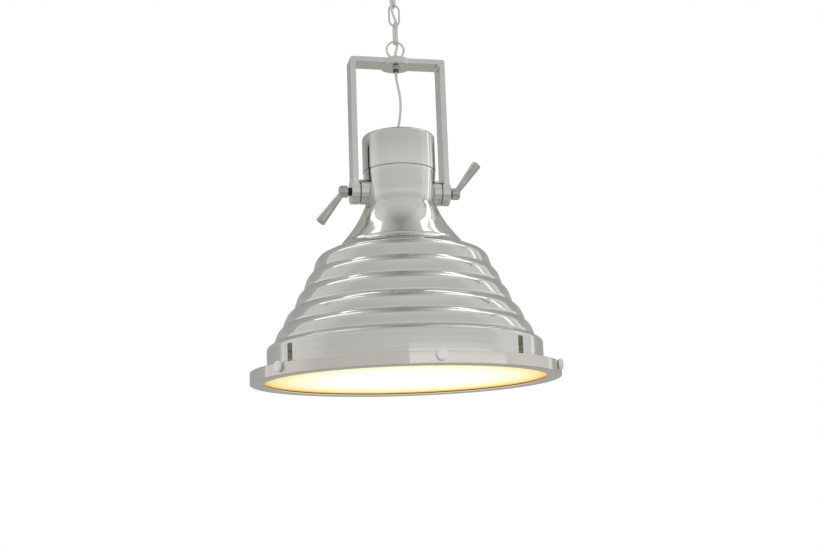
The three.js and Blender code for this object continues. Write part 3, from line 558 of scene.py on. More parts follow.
def makeCanopy():
    s = canopySizes
    floor, inner = canopyLow + s["wall"], s["radius"] - s["wall"]
    canopy = lathed("canopy_cup", [
        (s["radius"], s["rim"], softer), (s["radius"], canopyLow, s["edge"]), (0, canopyLow), (0, floor),
        (inner, floor, s["edge"] - s["wall"]), (inner, s["rim"], softer)], 12, 128)
    drill(canopy, hookBore, canopyLow, floor)
    drill(canopy, bushSizes["radius"] + gap, canopyLow, floor, place=(s["bushX"], s["bushY"], 0))
    settle(addEdgeCare(canopy), "ceiling_fitting", "chrome", chromePlain, "canopy")

    c = collarSizes
    top = canopyLow - gap
    low, neck = top - c["height"], c["radius"] - c["chamfer"]
    collar = lathed("canopy_lock_collar", [
        (hookBore, low), (neck, low, soft), (c["radius"], low + c["chamfer"], soft),
        (c["radius"], top - c["chamfer"], soft), (neck, top, soft), (hookBore, top)], 2, 144,
        wave=gripWave(c["radius"] - 0.1, c["grooves"], c["grooveDepth"], 0.3))
    settle(collar, "ceiling_fitting", "chrome", chromeSolid, "canopy_collar")

    b = bushSizes
    low, bushTop = canopyLow - b["below"], floor + b["above"]
    bush = lathed("cord_bush", [
        (b["bore"], low, softer), (b["radius"] - b["taper"], low, 1.2),
        (b["lipRadius"], top - b["lipHeight"], 0.4), (b["lipRadius"], top, 0.2), (b["radius"], top),
        (b["radius"], bushTop, 0.4), (b["bore"], bushTop, soft)], 4, 48, (s["bushX"], s["bushY"], 0))
    settle(bush, "ceiling_fitting", "black_plastic", blackPlastic, "canopy_cord_bush")


def makeTerminalBlock():
    s = blockSizes
    top = -strapSizes["thickness"] - s["standOff"]
    low, wellTop = top - s["height"], top - s["height"] / 2
    middle = strapSizes["bossRadius"] + 2 * gap + s["length"] / 2
    places = [(middle + side * s["screwCentre"], 0, 0) for side in (-1, 1)]
    block = prism("wire_block", rectangle(s["length"], s["width"], s["corner"]), low, top, 0.6,
                  place=(middle, 0, 0))
    for place in places:
        drill(block, s["screwRadius"] + s["screwPlay"], low, wellTop, 24, place, past=(2, 0))
    settle(block, "ceiling_fitting", "black_plastic", blackPlastic, "terminal_block")
    for i, place in enumerate(places):
        section = band(0, s["screwRadius"], low + s["screwDepth"], wellTop - 0.1, soft, 0)
        settle(lathed("wire_screw_%d" % (i + 1), section, 3, 24, place), "ceiling_fitting", "brass", brass)


def makeHook():
    s = hookSizes
    bowlZ = -s["drop"] + s["bowlRadius"]
    neckZ = bowlZ + s["bowlRadius"] + s["neck"]
    topZ = -strapSizes["bossDepth"] + s["threadIn"]
    path = [Vector((0, 0, topZ + (neckZ - topZ) * k / 6)) for k in range(7)]
    sweep = 360 - s["openingDegrees"]
    for k in range(16):
        x, z = onCircle(s["bowlRadius"], math.radians(s["startDegrees"] - sweep * k / 15))
        path.append(Vector((x, 0, bowlZ + z)))
    hook = tube("hook", smoothPath(path, 5), s["wire"] / 2, 28)
    settle(hook, "ceiling_fitting", "chrome", chromeSolid, "ceiling_hook")


makeStrap()
makeCanopy()
makeTerminalBlock()
makeHook()
print("ceiling fitting made")


# Chain and hanging loop

linkSizes = {"length": 38.5, "width": 20, "wire": 3.2, "weld": 0.22, "weldLength": 2.2, "weldReach": 6}


def makeLinks():
    s = linkSizes
    bend = (s["width"] - s["wire"]) / 2
    straight = (s["length"] - s["wire"]) / 2 - bend
    path = []
    for side, start in ((1, 0), (-1, 180)):
        middle = side * straight
        for k in range(19):
            x, z = onCircle(bend, math.radians(start + 180 * k / 18))
            path.append((x, middle + z))
        path += [(-side * bend, middle - middle * 2 * k / 12) for k in range(1, 12)]
    for name, across in (("top", False), ("middle", True), ("lower", False)):
        low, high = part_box("link_" + name)
        centre = (low.z + high.z) / 2 / mm
        points = [Vector((x, 0, centre + z)) if across else Vector((0, x, centre + z)) for x, z in path]
        link = tube("chain_link_" + name + "_wire", points, s["wire"] / 2, 24, closed=True)
        weldAt = Vector((bend, 0, centre)) if across else Vector((0, bend, centre))
        for v in link.data.vertices:
            away = v.co / mm - weldAt
            near = abs(away.z) / s["weldLength"]
            if near < 1 and away.length < s["weldReach"]:
                flat = Vector((away.x, away.y, 0))
                v.co += flat.normalized() * s["weld"] * mm * (0.5 + 0.5 * math.cos(math.pi * near))
        settle(link, "chain_link_" + name, "chrome", chromeSolid, "link_" + name)


loopSizes = {"radius": 16, "wire": 3.4, "collarRadius": 13, "collarHeight": 5.5, "nippleRadius": 4.4,
             "nippleTop": 3.5, "shoulderRadius": 8, "nippleTipRadius": 3.5, "stemRadius": 3.7,
             "stemBelow": 2.5, "bore": 2.3}
nutSizes = {"radius": 7, "height": 2.5, "cornerCut": 1.4, "edge": 0.25}
yokeGlandSizes = {"radius": 4.9, "height": 4.5, "capDepth": 2, "tipRadius": 3.7, "ribs": 16,
                  "ribDepth": 0.03}
yokeSizes = {"innerWidth": 138, "armThickness": 9, "barThickness": 8.5, "width": 36, "rise": 221.5,
             "cornerRadius": 4, "innerFillet": 2.5, "hubRadius": 20, "hubInset": 2.3, "hubProud": 2,
             "discRadius": 26, "discBelow": 2.5, "edge": 0.9}
yokeTopZ = heightOf("yoke_frame", 1)
pivotZ = yokeTopZ - yokeSizes["rise"]
atPivot = (0, 0, pivotZ)
discLowZ = yokeTopZ - yokeSizes["barThickness"] - yokeSizes["discBelow"]
nutLowZ = discLowZ - gap - nutSizes["height"]
stemBore = loopSizes["stemRadius"] + gap


def makeHexNut(name, radius, bore, low, high, place=(0, 0, 0)):
    hexagon = [onCircle(radius, math.pi * k / 3) for k in range(6)]
    nut = prism(name, hexagon, low, high, nutSizes["edge"], 2, place=place)
    crown = radius - nutSizes["cornerCut"]
    rounding = lathed("rounding", [
        (bore, low - 1), (crown, low - 1), (radius + 0.1, low + 0.55), (radius + 0.1, high - 0.55),
        (crown, high + 1), (bore, high + 1)], 2, 60, place)
    combined(nut, rounding, "INTERSECT")
    return nut


def makeLoop():
    s = loopSizes
    half = s["wire"] / 2
    reach = s["radius"] - half
    baseZ = yokeTopZ + s["collarHeight"]
    stemLowZ = nutLowZ - s["stemBelow"]
    tipZ = baseZ + half + s["nippleTop"]
    circle = [onCircle(reach, 2 * math.pi * k / 72) for k in range(72)]
    ring = tube("loop_ring", [(x, 0, baseZ + reach + z) for x, z in circle], half, 24, closed=True)
    combined(ring, lathed("collar", [
        (s["bore"], stemLowZ), (s["stemRadius"], stemLowZ, 0.4), (s["stemRadius"], yokeTopZ + gap),
        (s["collarRadius"], yokeTopZ + gap, 0.6), (s["collarRadius"], baseZ - half - gap, 1.2),
        (s["shoulderRadius"], baseZ, 1.5), (s["nippleRadius"], baseZ + half, 1.2),
        (s["nippleTipRadius"], tipZ, 0.6), (s["bore"], tipZ, soft)], 6, 72))
    drill(ring, s["bore"], stemLowZ, tipZ)
    settle(addEdgeCare(ring), "yoke", "chrome", chromeSolid, "hanging_loop")
    nut = makeHexNut("loop_nut", nutSizes["radius"], stemBore, nutLowZ, nutLowZ + nutSizes["height"])
    settle(nut, "yoke", "nickel", chromeSolid, "stem_nut")

    g = yokeGlandSizes
    top = nutLowZ - gap
    low = top - g["height"]
    step = min(stemLowZ - gap, low + g["capDepth"])
    gland = lathed("yoke_gland", [
        (s["bore"], low, soft), (g["tipRadius"], low, softer),
        (g["radius"], low + g["capDepth"] / 2, softer), (g["radius"], top, soft),
        (stemBore, top), (stemBore, step), (s["bore"], step)], 4, 128,
        wave=gripWave(g["radius"] - 0.1, g["ribs"], g["ribDepth"], 0))
    settle(gland, "yoke", "black_plastic", greyPlastic, "yoke_cord_gland")


makeLinks()
makeLoop()
print("chain and loop made")


# Yoke: a flat bar bent to a U, a disc under the loop, and a hub at the foot of each arm

armInner = yokeSizes["innerWidth"] / 2
armOuter = armInner + yokeSizes["armThickness"]
hubInner = armInner - yokeSizes["hubInset"]
hubOuter = armOuter + yokeSizes["hubProud"]


def makeYoke():
    s = yokeSizes
    inside = yokeTopZ - s["barThickness"]
    outline = roundCorners([
        (-armOuter, pivotZ), (-armInner, pivotZ), (-armInner, inside, s["innerFillet"]),
        (armInner, inside, s["innerFillet"]), (armInner, pivotZ), (armOuter, pivotZ),
        (armOuter, yokeTopZ, s["cornerRadius"]), (-armOuter, yokeTopZ, s["cornerRadius"])], 10)
    bar = prism("yoke_bar", outline, -s["width"] / 2, s["width"] / 2, s["edge"], turn=upright)
    combined(bar, lathed("disc", band(0, s["discRadius"], discLowZ, yokeTopZ, 1.6, 1.2), 6, 96))
    for side in (-1, 1):
        low, high = sorted((side * hubInner, side * hubOuter))
        combined(bar, lathed("hub", band(0, s["hubRadius"], low, high, 0.8, 1.6), 5, 96, atPivot, alongX))
    drill(bar, leverSizes["bore"], -hubOuter, hubOuter, 40, atPivot, alongX)
    drill(bar, stemBore, discLowZ, yokeTopZ)
    settle(addEdgeCare(bar), "yoke", "chrome", chromeSolid, "yoke_frame")


leverSizes = {"hubRadius": 9.5, "hubLength": 14, "inner": 2.2, "outer": 3.4, "washerRadius": 6.5,
              "washerThickness": 3.5, "reach": 63, "rootRadius": 4.3, "tipRadius": 7.8, "tipEdge": 0.9,
              "angleDegrees": 53, "studRadius": 4.5, "studIn": 14, "bore": 4.8, "dimpleRadius": 2.6,
              "dimpleFloor": 1.6, "dimpleDepth": 0.7}
pivotWasher = {"radius": 17, "thickness": 1}
bossOuter = hubInner - pivotWasher["thickness"] - 2 * gap


def makeClampSide(name, side):
    s = leverSizes
    washerIn = hubOuter + gap
    washerOut = washerIn + s["washerThickness"]
    inner = washerOut + gap
    outer = inner + s["hubLength"]
    dimple = outer - s["dimpleDepth"]
    centre = inner + s["hubLength"] / 2
    turnSide = Matrix() if side > 0 else Matrix.Rotation(math.pi, 4, "Z")
    turn = turnSide @ alongX
    body = "lever_" + name
    lever = lathed(body + "_handle", [
        (0, inner), (s["hubRadius"], inner, s["inner"]), (s["hubRadius"], outer, s["outer"]),
        (s["dimpleRadius"], outer, soft), (s["dimpleFloor"], dimple, 0.2), (0, dimple)],
        8, 64, atPivot, turn)
    lean = Matrix.Rotation(math.pi / 2 - math.radians(side * s["angleDegrees"]), 4, "Y")
    shift = Matrix.Translation(Vector((centre, 0, 0)) * mm)
    combined(lever, lathed("rod", [
        (0, 2), (s["rootRadius"], 2), (s["tipRadius"], s["reach"], s["tipEdge"]), (0, s["reach"])],
        5, 64, atPivot, turnSide @ shift @ lean))
    drill(lever, s["bore"], inner, centre + gap, 40, atPivot, turn, past=(1, 0))
    settle(addEdgeCare(lever), body, "chrome", leverChrome, "clamp_lever_" + name)
    low, high = bossOuter + gap, bossOuter + gap + pivotWasher["thickness"]
    # The clamp washers' near-black is partly painted shade of the gap beside the lever hub
    for label, section, steps, segments, owner, slotName, material, node in (
            ("lever_washer_", band(s["bore"], s["washerRadius"], washerIn, washerOut, softer, softer), 4, 48,
             body, "dark_steel", darkSteelAndGapShade, "clamp_washer_"),
            ("lever_stud_", band(0, s["studRadius"], bossOuter - s["studIn"], centre, 0.6, 0), 3, 40,
             body, "dark_steel", darkSteelAndGapShade, "clamp_stud_"),
            ("friction_washer_", band(s["bore"], pivotWasher["radius"], low, high, soft, soft), 3, 64,
             "shade", "black_plastic", washerSteel, "pivot_washer_")):
        disc = lathed(label + name, section, steps, segments, atPivot, turn)
        settle(disc, owner, slotName, material, node + name)


makeYoke()
makeClampSide("left", -1)
makeClampSide("right", 1)
print("yoke and clamps made")


# Cap, neck housing and shade. Heights of the lamp are counted from the bezel's bottom.

lampZ = heightOf("bezel_ring", 0)
onLamp = (0, 0, lampZ)
capSizes = {"radius": 58.4, "abovePivot": 33, "height": 60, "wall": 1.6, "edge": 6}
capGlandSizes = {"radius": 7, "nutHeight": 5, "below": 9, "threadRadius": 5, "tipRadius": 4.3, "bore": 2.3,
                 "ribs": 18, "ribDepth": 0.03}
neckSizes = {"seamStep": 0.6, "waistRadius": 55, "waistBelowPivot": 11, "footRadius": 95, "wall": 2.6,
             "spigotHeight": 8, "flangeThickness": 3, "flangeInner": 52, "bossRadius": 20, "bossEdge": 0.8,
             "aboveFlange": 1, "underSeam": 4, "insideFoot": 8}
shadeSizes = {"wall": 1.5, "shoulderHeight": 219, "bandRadius": 213.8, "bandTop": 58, "bandCorner": 7,
              "cornerDegrees": 75, "ledgeRise": 4, "throatRadius": 42, "flangeWidth": 22.2, "rimHeight": 7.5,
              "sideSteps": 4, "valley": 0.6, "rollHeight": 0.9, "rollDepth": 0.25}
slotSizes = {"width": 12.5, "bottom": 21, "top": 49, "atDegrees": (-50.5, -153, 129.5, 27), "corner": 1.0}

# Shares of the way out and up, or down and out, that the profiles of neck, shoulder and ribs follow
flareShares = [(0.02, 0.87), (0.12, 0.738), (0.22, 0.618), (0.36, 0.476), (0.515, 0.342), (0.7, 0.206),
               (0.91, 0.062), (1, 0)]
shoulderShares = [(0, 1), (0.06, 0.9), (0.15, 0.81), (0.33, 0.755), (0.5, 0.69), (0.63, 0.625), (0.72, 0.58),
                  (0.8, 0.505), (0.89, 0.38), (0.95, 0.2), (1, 0)]
ribSideShares = [(0, 0), (0.1, 0.2), (0.2, 0.38), (0.3, 0.53), (0.4, 0.645), (0.6, 0.8), (0.8, 0.925),
                 (0.93, 0.99), (1, 1)]
ribOutShares = [0.387, 0.505, 0.631, 0.783, 0.8965]
ribUpShares = [0.71, 0.532, 0.343, 0.163, 0]
pivotUp = pivotZ - lampZ
capLow = pivotUp + capSizes["abovePivot"]
capTop = capLow + capSizes["height"]


def makeCap():
    s, g = capSizes, capGlandSizes
    inner, roof = s["radius"] - s["wall"], capTop - s["wall"]
    hole = g["threadRadius"] + gap
    cap = lathed("cap_shell", [
        (inner, capLow, soft), (s["radius"], capLow, softer), (s["radius"], capTop, s["edge"]),
        (hole, capTop, soft), (hole, roof), (inner, roof, s["edge"] - s["wall"])], 12, 160, onLamp)
    settle(cap, "shade", "chrome", chromePlain, "top_cap")
    low, seat, top = capTop - g["below"], capTop + gap, capTop + gap + g["nutHeight"]
    gland = lathed("cap_gland", [
        (g["bore"], low), (g["threadRadius"], low, 0.4), (g["threadRadius"], seat), (g["radius"], seat, 0.2),
        (g["radius"], capTop + g["nutHeight"] / 2 + 1, softer), (g["tipRadius"], top, 0.6),
        (g["bore"], top, soft)], 4, 144, onLamp,
        wave=gripWave(g["radius"] - 0.1, g["ribs"], g["ribDepth"], 0))
    settle(gland, "shade", "black_plastic", blackPlastic, "cap_cord_gland")


def makeNeck():
    s = neckSizes
    seam = capLow - gap
    topRadius = capSizes["radius"] - s["seamStep"]
    waist = pivotUp - s["waistBelowPivot"]
    foot = shadeSizes["shoulderHeight"]
    upper = [(topRadius, seam - 0.6), (topRadius, seam - capSizes["edge"] / 2),
             ((topRadius + s["waistRadius"]) / 2, (seam + waist) / 2), (s["waistRadius"], waist)]
    flare = [(s["waistRadius"] + out * (s["footRadius"] - s["waistRadius"]), foot + up * (waist - foot))
             for out, up in flareShares]
    outer = smoothPath(upper + flare, 8)
    flangeTop = foot + s["flangeThickness"]
    spigot = capSizes["radius"] - capSizes["wall"] - gap
    spigotTop = capLow + s["spigotHeight"]
    inner = [p for p in offsetPath(outer, s["wall"])
             if flangeTop + s["aboveFlange"] < p.y < seam - s["underSeam"]
             and p.x < s["footRadius"] - s["insideFoot"]]
    outline = [(s["flangeInner"], foot), *reversed(outer), (topRadius - 0.6, seam), (spigot, seam),
               (spigot, spigotTop), (spigot - s["wall"], spigotTop), *inner,
               (s["footRadius"] - 3 * s["wall"], flangeTop), (s["flangeInner"], flangeTop)]
    neck = turned("neck_shell", [Vector(p) for p in outline], 160, onLamp)
    inside = s["waistRadius"] - s["wall"]
    for side in (-1, 1):
        low, high = sorted((side * inside, side * bossOuter))
        edges = (s["bossEdge"], 0) if side < 0 else (0, s["bossEdge"])
        combined(neck, lathed("boss", band(0, s["bossRadius"], low, high, *edges), 5, 96, atPivot, alongX))
    drill(neck, inside - gap, pivotZ - s["bossRadius"], pivotZ + s["bossRadius"], 160)
    drill(neck, leverSizes["bore"], -bossOuter, bossOuter, 40, atPivot, alongX)
    settle(addEdgeCare(neck), "shade", "chrome", chromePlain, "neck_housing")


def ribSide(start, stop):
    # One rib's bulging side, ending in a small roll above the valley
    s = shadeSizes
    low = stop[1] + s["rollHeight"]
    side = smoothPath([(start[0] + out * (stop[0] - start[0]), start[1] + down * (low - start[1]))
                       for down, out in ribSideShares], s["sideSteps"])[1:]
    for k in range(1, s["sideSteps"] + 1):
        angle = math.pi / 2 * k / s["sideSteps"]
        side.append(Vector((stop[0] - s["rollDepth"] * (1 - math.cos(angle)),
                            low - s["rollHeight"] * math.sin(angle))))
    return side


def shadeSide():
    s = shadeSizes
    foot, bandRadius = neckSizes["footRadius"], s["bandRadius"]
    topZ, ledge = s["shoulderHeight"] - gap, s["bandTop"] + s["ledgeRise"]
    radii = [foot + share * (bandRadius - foot) for share in ribOutShares]
    heights = [ledge + share * (s["shoulderHeight"] - ledge) for share in ribUpShares]
    points = smoothPath([(foot + out * (radii[0] - foot), heights[0] + up * (topZ - heights[0]))
                         for out, up in shoulderShares], 5)
    starts = [(r - (s["rollDepth"] if i else 0), z) for i, (r, z) in enumerate(zip(radii, heights))]
    for start, stop in zip(starts, zip(radii[1:], heights[1:])):
        points += ribSide(start, stop)
    corner = s["bandCorner"]
    for k in range(13):
        x, z = onCircle(corner, math.radians(s["cornerDegrees"] * (1 - k / 12)))
        points.append(Vector((bandRadius - corner + x, s["bandTop"] - corner + z)))
    return roundCorners([(p.x, p.y, s["valley"] if min((p - Vector(v)).length for v in starts) < 1e-4 else 0)
                         for p in points], 4)


def makeShade():
    s = shadeSizes
    low = heightOf("ribbed_shade", 0) - lampZ
    edge = s["bandRadius"] + s["flangeWidth"]
    outer = shadeSide()
    roof = outer[0].y
    flange = roundCorners([
        (s["bandRadius"], low + s["wall"], 1.2), (edge - s["wall"], low + s["wall"], 1.0),
        (edge - s["wall"], low + s["rimHeight"], softer), (edge, low + s["rimHeight"], softer),
        (edge, low, 1.2), (s["bandRadius"] - s["wall"], low, softer)], 4)
    shell = [Vector((s["throatRadius"], roof)), *outer, *flange, *offsetPath(outer, s["wall"])[::-1],
             Vector((s["throatRadius"], roof - s["wall"]))]
    shade = turned("shade_spinning", shell, 224, onLamp)
    q = slotSizes
    outline = roundCorners([(x * q["width"] / 2, q["bottom"] if y < 0 else q["top"], q["corner"])
                            for x, y in square], 4)
    for angle in q["atDegrees"]:
        turn = Matrix.Rotation(math.radians(angle + 90), 4, "Z") @ upright
        slot = prism("slot", outline, s["bandRadius"] - 5, s["bandRadius"] + 5, turn=turn, place=onLamp)
        combined(shade, slot, "DIFFERENCE")
    settle(addEdgeCare(shade), "shade", "chrome", chrome, "ribbed_shade")
    # Inward faces take the painted-shade finish, so the inside looks dim through the vent slots
    shade.data.materials.append(shadeInsidePaintedShade)
    for face in shade.data.polygons:
        out = Vector((face.center.x, face.center.y, 0))
        if out.dot(face.normal) < -0.02 * mm and out.length < (s["bandRadius"] - 0.5) * mm:
            face.material_index = 1


makeCap()
makeNeck()
makeShade()
print("cap, neck and shade made")


# Glass ring

bezelSizes = {"play": 1.5, "height": 18, "wall": 2.5, "lip": 2.5, "edge": 1.2, "glassLap": 14,
              "gasketInset": 1.2}
thumbSizes = {"count": 6, "height": 12, "headRadius": 8.2, "headLength": 5.4, "chamfer": 1, "shankRadius": 2,
              "firstDegrees": -90, "flutes": 30, "fluteDepth": 0.025}
ringInner = shadeSizes["bandRadius"] + shadeSizes["flangeWidth"] + bezelSizes["play"]
ringOuter = ringInner + bezelSizes["wall"]
screwPlace = (0, 0, lampZ + thumbSizes["height"])
screwTurns = [Matrix.Rotation(angle, 4, "Z") @ alongX for angle in evenAngles(thumbSizes)]


def makeGlassRing():
    s, g = bezelSizes, glassRing
    opening = g["glassRadius"] - s["glassLap"]
    bezel = lathed("bezel_band", [
        (opening, 0, 0.9), (ringOuter, 0, s["edge"]), (ringOuter, s["height"], 1.0),
        (ringInner, s["height"], 1.0), (ringInner, s["lip"], softer), (opening, s["lip"], 0.9)],
        6, 256, onLamp)
    for turn in screwTurns:
        drill(bezel, thumbSizes["shankRadius"] + gap, ringInner, ringOuter, 24, screwPlace, turn)
    # The bezel's warm tint is painted glow from the lit glass
    settle(addEdgeCare(bezel), "glass_ring", "chrome", chromePaintedGlowTint, "bezel_ring")
    low, inner = s["lip"] + gap, opening + s["gasketInset"]
    top, outer = low + g["gasketThickness"], inner + g["gasketWidth"]
    seal = lathed("glass_seal", [(inner, low, 0.4), (outer, low, 0.4), (outer, top, 0.4), (inner, top, 0.4)],
                  3, 192, onLamp)
    settle(seal, "glass_ring", "rubber", rubber, "glass_gasket")
    section = band(0, g["glassRadius"], top + gap, top + gap + g["glassThickness"], 0.8, 0.8)
    settle(lathed("opal_pane", section, 4, 192, onLamp), "glass_ring", "opal_glass", opal, "diffuser_glass")


def makeThumbScrews():
    s = thumbSizes
    tip, seat = ringInner - bezelSizes["play"] + gap, ringOuter + gap
    end, neck = seat + s["headLength"], s["headRadius"] - s["chamfer"]
    for k, turn in enumerate(screwTurns):
        screw = lathed("thumb_screw_head_%d" % (k + 1), [
            (0, tip), (s["shankRadius"], tip, 0.4), (s["shankRadius"], seat), (neck, seat, 0.2),
            (s["headRadius"], seat + s["chamfer"], 0.2), (s["headRadius"], end - s["chamfer"], 0.4),
            (neck, end, 0.6), (0, end)], 3, 180, screwPlace, turn,
            gripWave(s["headRadius"] - 0.3, s["flutes"], s["fluteDepth"]))
        node = "thumb_screw_%d" % (k + 1)
        settle(screw, node, "nickel", nickel, node)


makeGlassRing()
makeThumbScrews()
print("glass ring made")


# Inside: holder plate and its screws, nipple, nut, lampholder, bulb and the fixed cord

plateSizes = {"radius": 80, "thickness": 2, "screwInset": 14}
screwSizes = {"count": 3, "radius": 2, "headRadius": 4, "crownRadius": 3.2, "headHeight": 2.6,
              "slotLength": 9, "slotWidth": 0.9, "firstDegrees": 30}
nippleSizes = {"radius": 5, "bore": 3.2, "above": 12, "below": 8, "pitch": 1.0, "threadDepth": 0.45,
               "nutRadius": 8.5, "nutHeight": 3}
holderSizes = {"radius": 21, "mouthRadius": 24, "height": 46, "wall": 4, "roof": 9}
bulbSizes = {"capRadius": 13, "capLength": 25, "contactRadius": 5, "envelopeRadius": 30, "length": 105,
             "wall": 0.8, "throatRadius": 12, "throatLength": 13, "shoulderDegrees": 38, "rounds": 6,
             "threadDepth": 0.45, "plainBelow": 1.5, "plainAbove": 2}
plateTop = shadeSizes["shoulderHeight"] - gap - shadeSizes["wall"] - gap
plateLow = plateTop - plateSizes["thickness"]
nippleBore = nippleSizes["radius"] + gap


def makePlate():
    s, c = plateSizes, screwSizes
    section = band(nippleBore, s["radius"], plateLow, plateTop, softer, softer)
    plate = lathed("lamp_plate", section, 3, 120, onLamp)
    places = [(*onCircle(s["radius"] - s["screwInset"], angle), lampZ) for angle in evenAngles(c)]
    for place in places:
        drill(plate, c["radius"] + gap, plateLow, plateTop, 24, place)
    settle(plate, "shade", "steel", steel, "holder_plate")
    top = plateLow - gap
    low = top - c["headHeight"]
    tip = shadeSizes["shoulderHeight"] + neckSizes["flangeThickness"] - 2 * gap
    for k, place in enumerate(places):
        screw = lathed("plate_screw_%d" % (k + 1), [
            (0, low), (c["crownRadius"], low, 0.8), (c["headRadius"], top, 0.4), (c["radius"], top),
            (c["radius"], tip, 0.4), (0, tip)], 4, 40, place)
        slot = prism("slot", rectangle(c["slotLength"], c["slotWidth"], 0), low - 1, low + 1, place=place)
        combined(screw, slot, "DIFFERENCE")
        settle(screw, "shade", "steel", steel, "housing_screw_%d" % (k + 1))


def makeNipple():
    s = nippleSizes
    low, high, root = plateLow - s["below"], plateTop + s["above"], s["radius"] - s["threadDepth"]
    turns = int((high - low) / s["pitch"])
    pitch = (high - low) / turns
    thread = []
    for k in range(turns):
        thread += [(root, low + pitch * k), (s["radius"], low + pitch * (k + 0.5))]
    outline = [(s["bore"], low), *thread, (root, high), (s["bore"], high)]
    settle(turned("threaded_nipple", outline, 40, onLamp), "shade", "brass", brass, "holder_nipple")
    nutLow = plateTop + gap
    nut = makeHexNut("nipple_hex", s["nutRadius"], nippleBore, nutLow, nutLow + s["nutHeight"], onLamp)
    settle(nut, "shade", "brass", brass, "nipple_nut")


def makeHolderAndBulb():
    h, b = holderSizes, bulbSizes
    top = plateLow - gap
    bottom, roof = top - h["height"], top - h["roof"]
    mouth = b["capRadius"] + gap
    body = lathed("ceramic_holder", [
        (nippleBore, top), (h["radius"], top, 3.0), (h["radius"], bottom + h["roof"], 2.0),
        (h["mouthRadius"], bottom + h["wall"] + 1, 1.0), (h["mouthRadius"], bottom, 1.5),
        (mouth + h["wall"], bottom, 1.0), (mouth, bottom + h["wall"], softer), (mouth, roof),
        (nippleBore, roof)], 5, 96, onLamp)
    settle(body, "shade", "ceramic", ceramic, "lampholder")
    capTopZ = roof - gap
    low = capTopZ - b["capLength"]
    contact, shoulder = capTopZ - gap, capTopZ - h["wall"]
    thread = []
    steps, threadLow = b["rounds"] * 4, low + b["plainBelow"]
    for k in range(steps + 1):
        wave = b["threadDepth"] * (math.cos(math.pi * k / 2) - 1)
        z = threadLow + (shoulder - b["plainAbove"] - threadLow) * k / steps
        thread.append((b["capRadius"] + wave, z))
    cap = turned("bulb_screw_cap", [
        (b["throatRadius"], low), (b["capRadius"] - 0.4, low), *thread, (b["capRadius"] - 1.2, shoulder),
        (b["contactRadius"], contact), (0, contact), (0, shoulder),
        (b["throatRadius"] - 0.6, shoulder - h["wall"])], 64, onLamp)
    settle(cap, "shade", "brass", brass, "bulb_cap")
    glassTop = low - gap
    radius, ballZ = b["envelopeRadius"], glassTop - (b["length"] - b["capLength"]) + b["envelopeRadius"]
    line = [(b["throatRadius"], glassTop), (b["throatRadius"] + b["wall"], glassTop - b["throatLength"])]
    for degrees in range(b["shoulderDegrees"], -90, -8):
        x, z = onCircle(radius, math.radians(degrees))
        line.append((x, ballZ + z))
    outer = smoothPath([*line, (0.01, ballZ - radius)], 3)
    inner = offsetPath(outer, b["wall"])[::-1]
    inner[0] = Vector((0, ballZ - radius + b["wall"]))
    outer[-1] = Vector((0, ballZ - radius))
    envelope = turned("bulb_envelope", [*outer, *inner], 64, onLamp)
    settle(envelope, "shade", "bulb_glass", bulbGlass, "bulb_glass")


fixedCords = {
    "cord_in_canopy": ("ceiling_fitting", [
        (-16, -12, -33.6), (-16, -12, -28.4), (-16, -12, -23.2), (-15.2, -11.7, -18.6), (-10, -10.4, -15.4),
        (-2, -9.2, -15.6), (6, -6.6, -18), (11.4, -2.6, -20.2), (13.6, -0.4, -18.4), (13.6, 0, -13.1)]),
    "cord_inside": ("shade", [(0, 0, heightOf("cord_inside", 1)), (0, 0, lampZ + capLow),
                              (0, 0, heightOf("cord_inside", 0))]),
}


def makeFixedCords():
    for node, (body, route) in fixedCords.items():
        piece = tube("fixed_" + node, smoothPath(route, 8), cordSize["diameter"] / 2, cordSize["sides"])
        settle(piece, body, "cord", cordPlastic, node)


makePlate()
makeNipple()
makeHolderAndBulb()
makeFixedCords()
print("inside made")


# Studio: a pale floor, a white world, one soft strip of light, and a tent that only polished surfaces show

studio = {"floorZ": -1.75, "floorSize": 14, "worldLight": 0.75, "floorInMetal": (0.6, 0.592, 0.575)}


def computed(tree, operation, *values):
    return addNode(tree, "Math", dict(enumerate(values)), operation=operation).outputs["Value"]


def makeWorld():
    world = bpy.data.worlds.new("studio")
    scene.world = world
    world.use_nodes = True
    tree = world.node_tree
    tree.nodes.clear()
    rays = addNode(tree, "LightPath").outputs
    seen = rays["Is Camera Ray"]
    for kind in ("Is Glossy Ray", "Is Transmission Ray"):
        seen = computed(tree, "MAXIMUM", seen, rays[kind])
    plain, white = [addNode(tree, "Background", {"Color": (1, 1, 1, 1), "Strength": light}).outputs[0]
                    for light in (studio["worldLight"], 1.0)]
    blend = addNode(tree, "MixShader", {"Fac": seen, 1: plain, 2: white})
    addNode(tree, "OutputWorld", {"Surface": blend.outputs["Shader"]})


def makeFloor():
    size = studio["floorSize"] / 2
    work = bmesh.new()
    work.faces.new([work.verts.new((x * size, y * size, studio["floorZ"])) for x, y in square])
    floor = finished("studio_floor", work)
    material, tree, shader = newMaterial("paleFloor")
    pale = mixedColour(tree, addMarks(tree, 0.8, 40.0)["Smudge"], (0.86, 0.86, 0.85), (0.83, 0.83, 0.82))
    glossy = addNode(tree, "LightPath").outputs["Is Glossy Ray"]
    inMetal = mixedColour(tree, glossy, (1, 1, 1), studio["floorInMetal"])
    fillInputs(tree, shader, {"Base Color": multipliedColour(tree, pale, inMetal), "Roughness": 0.9})
    floor.data.materials.append(material)


